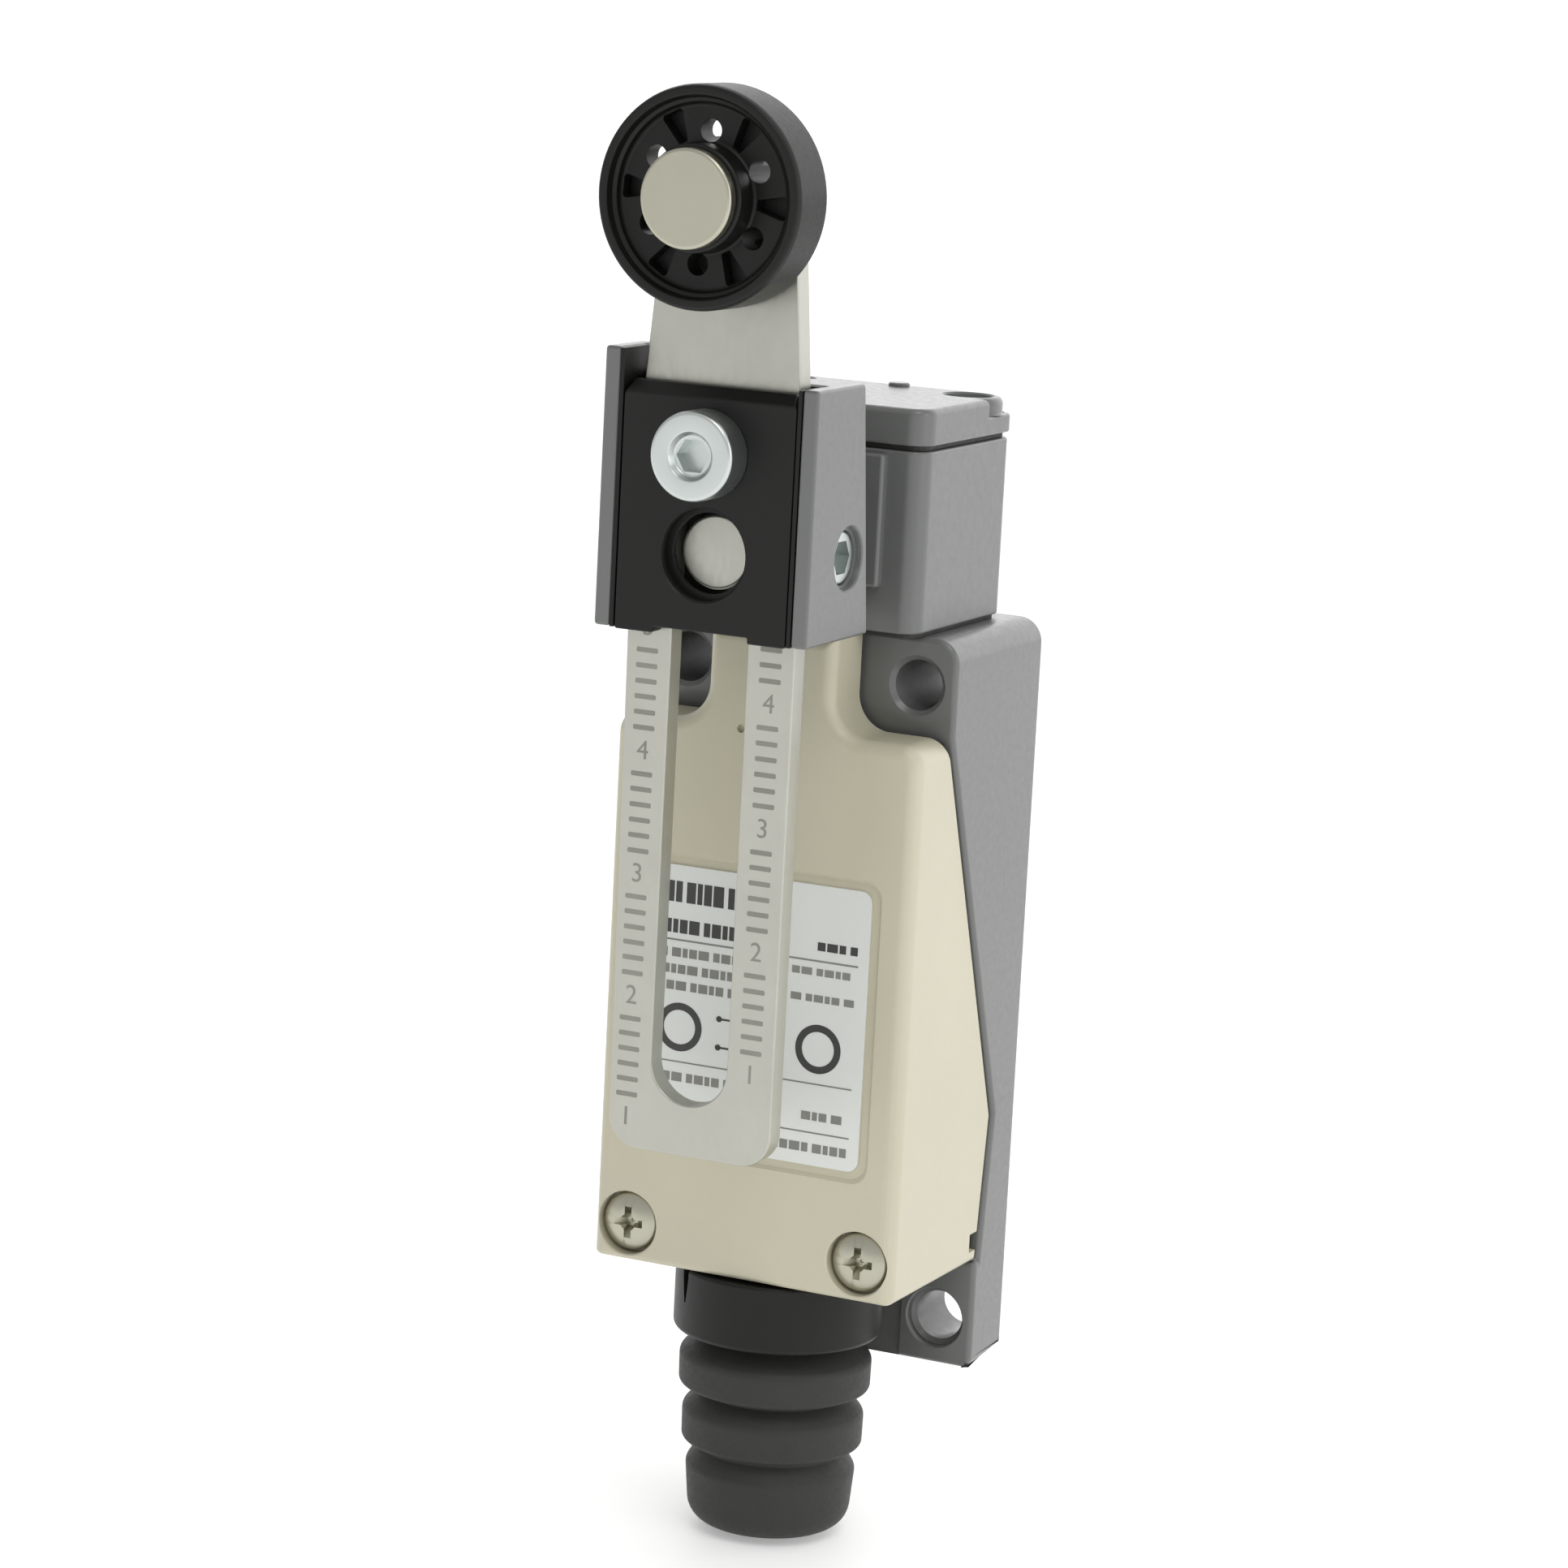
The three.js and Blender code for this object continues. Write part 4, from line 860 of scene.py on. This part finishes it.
# ------------------------------------------------------------------ lever and roller
def make_lever():
    low, high = span("lever_arm")
    half = high.x
    neck, tip, tip_z = 6.9, 5.9, ROLLER_Z - 3
    outline = rounded([
        (-half, low.z, 2.6),
        (half, low.z, 2.6),
        (half, 50.4, 1.5),
        (neck, 51.6, 1.5),
        (tip, tip_z),
    ])
    for k in range(1, 24):
        angle = math.pi * k / 24
        outline.append(Vector((tip * math.cos(angle), tip_z + tip * math.sin(angle))))
    outline += rounded([(tip, tip_z), (-tip, tip_z), (-neck, 51.6, 1.5), (-half, 50.4, 1.5),
                        (-half, low.z)])[1:-1]
    body = prism("y", outline, low.y, high.y)
    corner = SLOT - 0.01
    slot = rounded([(-SLOT, SLOT_FOOT, corner), (SLOT, SLOT_FOOT, corner),
                    (SLOT, SLOT_TOP, corner), (-SLOT, SLOT_TOP, corner)], step=6)
    cut(body, prism("y", slot, low.y - 1, high.y + 1))
    soften(body, 0.16, 3)
    cut(body, rod("y", (0, ROLLER_Z), 2.55, low.y - 1, high.y + 1, 48))
    piece(body, "slotted_lever", "lever", "steel", "lever_arm")


def make_numeral(number, x, y, z):
    """A numeral as a text object that faces the front, in metres."""
    curve = bpy.data.curves.new("numeral", "FONT")
    curve.body = str(number)
    curve.align_x = "CENTER"
    curve.align_y = "CENTER"
    curve.size = NUMERAL_SIZE * MM
    curve.extrude = 0.016 * MM
    numeral = bpy.data.objects.new("numeral", curve)
    bpy.context.scene.collection.objects.link(numeral)
    numeral.location = (x * MM, y * MM, z * MM)
    numeral.rotation_euler = (math.pi / 2, 0, 0)
    return numeral


def make_scale():
    """The length scale on both limbs of the lever: ticks and a numeral every 10 mm."""
    low, _ = span("lever_arm")
    face = low.y
    numerals = []
    bm = bmesh.new()
    for x, first_numeral in SCALE_LIMBS:
        for k in range(44):
            z = first_numeral + SCALE_PITCH * (k + 0.5)
            near = abs(math.remainder(z - first_numeral, NUMERAL_STEP))
            if near > 1.2 and low.z + 3 < z < SCALE_TOP:
                tick = rectangle(x - 0.95, x + 0.95, z - 0.2, z + 0.2, 0.12)
                slab(bm, tick, face - 0.012, face + 0.02)
        for k in range(6):
            z = first_numeral + NUMERAL_STEP * k
            if z <= SCALE_TOP:
                numerals.append(make_numeral(k + 1, x, face + 0.004, z))
    marks = to_object(bm)
    bpy.context.view_layer.update()
    graph = bpy.context.evaluated_depsgraph_get()
    bm = bmesh.new()
    bm.from_mesh(marks.data)
    for numeral in numerals:
        mesh = bpy.data.meshes.new_from_object(numeral.evaluated_get(graph))
        mesh.transform(numeral.matrix_world)
        bm.from_mesh(mesh)
        bpy.data.meshes.remove(mesh)
        bpy.data.objects.remove(numeral)
    bmesh.ops.remove_doubles(bm, verts=bm.verts, dist=0.001 * MM)
    bmesh.ops.delete(bm, geom=[v for v in bm.verts if not v.link_faces], context="VERTS")
    bm.to_mesh(marks.data)
    bm.free()
    settle(marks, "lever_scale", "lever", "scale_mark")


def make_pin():
    low, high = span("roller_pin")
    head = high.x
    profile = rounded([
        (0, low.y + 0.03),
        (0.6, low.y),
        (head, low.y, 0.3),
        (head, low.y + 1.05, 0.15),
        (2.5, low.y + 1.05),
        (2.5, -33.15),
        (3.4, -33.15, 0.1),
        (2.9, high.y, 0.3),
        (0, high.y),
    ], closed=False)
    body = turned("y", (0, ROLLER_Z), profile, 64)
    piece(body, "roller_rivet", "lever", "nickel", "roller_pin")


def make_roller():
    low, high = span("roller")
    hub_front, back = low.y, high.y
    outer, rim, hub = 8.7, 7.3, 4.2
    profile = rounded([
        (2.6, hub_front),
        (hub, hub_front, 0.25),
        (hub, WEB_FRONT, 0.3),
        (rim, WEB_FRONT, 0.4),
        (rim, ROLLER_FRONT + 0.75, 0.15),
        (rim + 0.35, ROLLER_FRONT + 0.6, 0.12),
        (rim + 0.55, ROLLER_FRONT, 0.15),
        (outer - 0.15, ROLLER_FRONT, 0.3),
        (outer, ROLLER_FRONT + 0.5, 0.5),
        (outer, back, 0.4),
        (rim, back, 0.2),
        (rim, WEB_BACK, 0.3),
        (hub + 0.4, WEB_BACK, 0.3),
        (hub + 0.4, back, 0.2),
        (2.6, back),
    ], closed=False)
    body = turned("y", (0, ROLLER_Z), profile, 96)
    step = 360 / WEB_HOLES
    for k in range(WEB_HOLES):
        hole = prism("y", circle(5.15, 0, 0.9, 32), hub_front - 1, back + 1)
        sections = []
        for grow, y in ((0.1, WEB_FRONT - 0.5), (0.05, WEB_FRONT), (0.0, POCKET_FLOOR)):
            sections.append((rounded([
                (hub + 0.3, -0.35 - grow, 0.12),
                (rim - 0.25, -0.95 - grow, 0.3),
                (rim - 0.25, 0.95 + grow, 0.3),
                (hub + 0.3, 0.35 + grow, 0.12),
            ]), y))
        pocket = loft("y", sections)
        for tool, angle in ((hole, 0), (pocket, step / 2)):
            turn = math.radians(FIRST_HOLE + k * step + angle)
            tool.data.transform(Matrix.Rotation(-turn, 4, "Y"))
            tool.data.transform(Matrix.Translation((0, 0, ROLLER_Z * MM)))
        cut(body, hole, pocket)
    piece(body, "roller_wheel", "roller", "black_plastic", "roller")


# ----------------------------------------------------------------------- cable entry
def make_collar():
    low, high = span("gland_collar")
    foot, top = low.z, -22.7
    radius = high.x
    profile = rounded([
        (0, foot),
        (radius, foot, 0.5),
        (radius, top, 0.25),
        (5.0, top),
        (5.0, high.z),
        (0, high.z),
    ], closed=False)
    body = turned("z", (0, PORT_Y), profile, 96)
    for turn in (NOTCH_TURN, NOTCH_TURN + math.pi):
        wedge = loft("z", [
            (rectangle(radius - 0.2, radius + 1, -0.1, 0.1), top - 2.9),
            (rectangle(radius - 0.5, radius + 1, -0.45, 0.45), top - 0.8),
            (rectangle(radius - 0.5, radius + 1, -0.5, 0.5), top + 1),
        ])
        wedge.data.transform(Matrix.Rotation(turn, 4, "Z"))
        wedge.data.transform(Matrix.Translation((0, PORT_Y * MM, 0)))
        cut(body, wedge)
    cut(body, rod("z", (0, PORT_Y), 4.2, foot - 1, 0, 64))
    piece(body, "cable_collar", "housing", "black_plastic", "gland_collar")


def make_gland():
    low, high = span("cable_gland")
    foot = low.z
    shelf = -28.5
    groove = 6.3
    corners = [(3.0, high.z), (4.15, high.z), (4.15, shelf), (groove, shelf, 0.2)]
    rings = [(8.15, -29.0, -33.4), (7.7, -33.9, -38.3), (7.2, -38.8, foot)]
    for radius, high_z, low_z in rings:
        corners += [(groove, high_z, 0.25), (radius, high_z - 1.5, 0.9)]
        if low_z > foot:
            corners += [(radius - 0.05, low_z + 0.1, 0.45), (groove, low_z, 0.2)]
        else:
            corners += [(radius - 0.45, foot, 2.1)]
    corners += [(3.6, foot, 0.3), (3.6, foot + 14), (3.0, foot + 16)]
    body = turned("z", (0, PORT_Y), rounded(corners, closed=False, step=12), 96)
    piece(body, "rubber_boot", "housing", "rubber", "cable_gland")


def make_spring(node, name, body_name, turns):
    """A coil spring in a CAD spring's place."""
    low, high = span(node)
    wire = 0.33 if turns > 4 else 0.24
    centre = Vector(((low.x + high.x) / 2, (low.y + high.y) / 2, 0))
    radius = (high.x - low.x) / 2 - wire
    bm = bmesh.new()
    sides = 10
    steps = 28 * turns
    rings = []
    for k in range(steps + 1):
        angle = math.tau * turns * k / steps
        z = low.z + wire + (high.z - low.z - 2 * wire) * k / steps
        ring = []
        for j in range(sides):
            around = math.tau * j / sides
            reach = radius + wire * math.cos(around)
            spot = centre + Vector((reach * math.cos(angle), reach * math.sin(angle),
                                    z + wire * math.sin(around)))
            ring.append(bm.verts.new(spot))
        rings.append(ring)
    bm.faces.new(rings[0])
    bm.faces.new(rings[-1])
    for first, second in zip(rings, rings[1:]):
        band(bm, first, second)
    made = piece(to_object(bm), name, body_name, "steel", node)
    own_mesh(made)


def dress_cad_nodes():
    """Gives every CAD node that stays its slot's procedural material."""
    slots = {part["node"]: part["material_slot"] for part in frame["record"]["subparts"]}
    for name, obj in frame["nodes"].items():
        if obj.hide_render:
            continue
        obj.data.materials.clear()
        obj.data.materials.append(MATERIALS[slots[name]])
        bevel = obj.modifiers.new("soften", "BEVEL")
        bevel.width = 0.06 * MM
        bevel.segments = 2
        bevel.limit_method = "ANGLE"
        bevel.angle_limit = math.radians(40)


# --------------------------------------------------------------------- camera, stage
def make_camera():
    """The photograph's viewpoint, turned about the line of sight by the camera's roll."""
    back = Vector((
        math.sin(AZIMUTH) * math.cos(ELEVATION),
        -math.cos(AZIMUTH) * math.cos(ELEVATION),
        math.sin(ELEVATION),
    ))
    right = (-back).cross(Vector((0, 0, 1))).normalized()
    up = right.cross(-back)
    camera_right = math.cos(ROLL) * right + math.sin(ROLL) * up
    camera_up = -math.sin(ROLL) * right + math.cos(ROLL) * up
    data = bpy.data.cameras.new("camera")
    data.sensor_width = SENSOR
    data.lens = SENSOR * FOCAL / IMAGE_SIDE
    data.clip_start = 0.01
    data.clip_end = 200
    camera = bpy.data.objects.new("camera", data)
    bpy.context.scene.collection.objects.link(camera)
    rotation = Matrix((camera_right, camera_up, back)).transposed().to_4x4()
    place = Vector(TARGET) * MM + back * (DISTANCE * MM)
    camera.matrix_world = Matrix.Translation(place) @ rotation
    bpy.context.scene.camera = camera


def area_light(name, place, aim, size, power):
    data = bpy.data.lights.new(name, "AREA")
    data.shape = "DISK"
    data.size = size
    data.energy = power
    light = bpy.data.objects.new(name, data)
    light.location = place
    light.rotation_euler = (Vector(aim) - Vector(place)).to_track_quat("-Z", "Y").to_euler()
    bpy.context.scene.collection.objects.link(light)


def make_floor():
    low, _ = cad_box
    bpy.ops.mesh.primitive_plane_add(size=80, location=(0, 0, low.z - 0.0005))
    floor = bpy.context.object
    floor.name = "floor"
    pale = finish_of(
        "pale_floor", (0.93, 0.93, 0.925), 0.6, vary=0.005, patch=3, grain=40, bump=0.02)
    surface = pale.node_tree.nodes["Principled BSDF"].inputs
    surface["Emission Color"].default_value = (1, 1, 1, 1)
    surface["Emission Strength"].default_value = 0.3
    floor.data.materials.append(pale)


def make_world():
    """A studio that is brighter behind the object, and plain white to the camera."""
    world = bpy.data.worlds.new("studio")
    world.use_nodes = True
    tree = world.node_tree
    direction = tree.nodes.new("ShaderNodeTexCoord")
    axes = tree.nodes.new("ShaderNodeSeparateXYZ")
    glow = tree.nodes.new("ShaderNodeMapRange")
    glow.interpolation_type = "SMOOTHSTEP"
    limits = {"From Min": 0.15, "From Max": 0.85, "To Min": 0.55, "To Max": 1.7}
    for socket, value in limits.items():
        glow.inputs[socket].default_value = value
    tree.links.new(direction.outputs["Generated"], axes.inputs["Vector"])
    tree.links.new(axes.outputs["Y"], glow.inputs["Value"])
    background = tree.nodes["Background"]
    background.inputs["Color"].default_value = (1, 1, 1, 1)
    seen = tree.nodes.new("ShaderNodeLightPath")
    strength = tree.nodes.new("ShaderNodeMix")
    strength.inputs["B"].default_value = 1.2
    tree.links.new(seen.outputs["Is Camera Ray"], strength.inputs["Factor"])
    tree.links.new(glow.outputs["Result"], strength.inputs["A"])
    tree.links.new(strength.outputs["Result"], background.inputs["Strength"])
    bpy.context.scene.world = world


def make_lights():
    middle = (0, -0.02, 0.02)
    area_light("key", (0.35, -0.45, 0.75), middle, 0.45, 1.6)
    area_light("side", (0.8, -0.15, 0.25), middle, 0.5, 1.0)
    bpy.context.scene.view_settings.view_transform = "Standard"



make_camera()
MATERIALS = all_materials()
make_base()
make_cover()
make_cross_screw("cover_screw_left", "cover_fixing_left", 2.5, 0.55)
make_cross_screw("cover_screw_right", "cover_fixing_right", 2.5, 0.55)
make_label()
make_head()
make_cap()
make_shaft()
make_holder()
make_clamp_plate()
make_clamp_screw()
make_set_screw()
make_lever()
make_scale()
make_pin()
make_roller()
make_collar()
make_gland()
make_spring("return_spring", "follower_spring", "housing", 5)
make_spring("button_spring", "push_button_spring", "housing", 4)
dress_cad_nodes()
make_floor()
make_world()
make_lights()

bpy.context.view_layer.update()
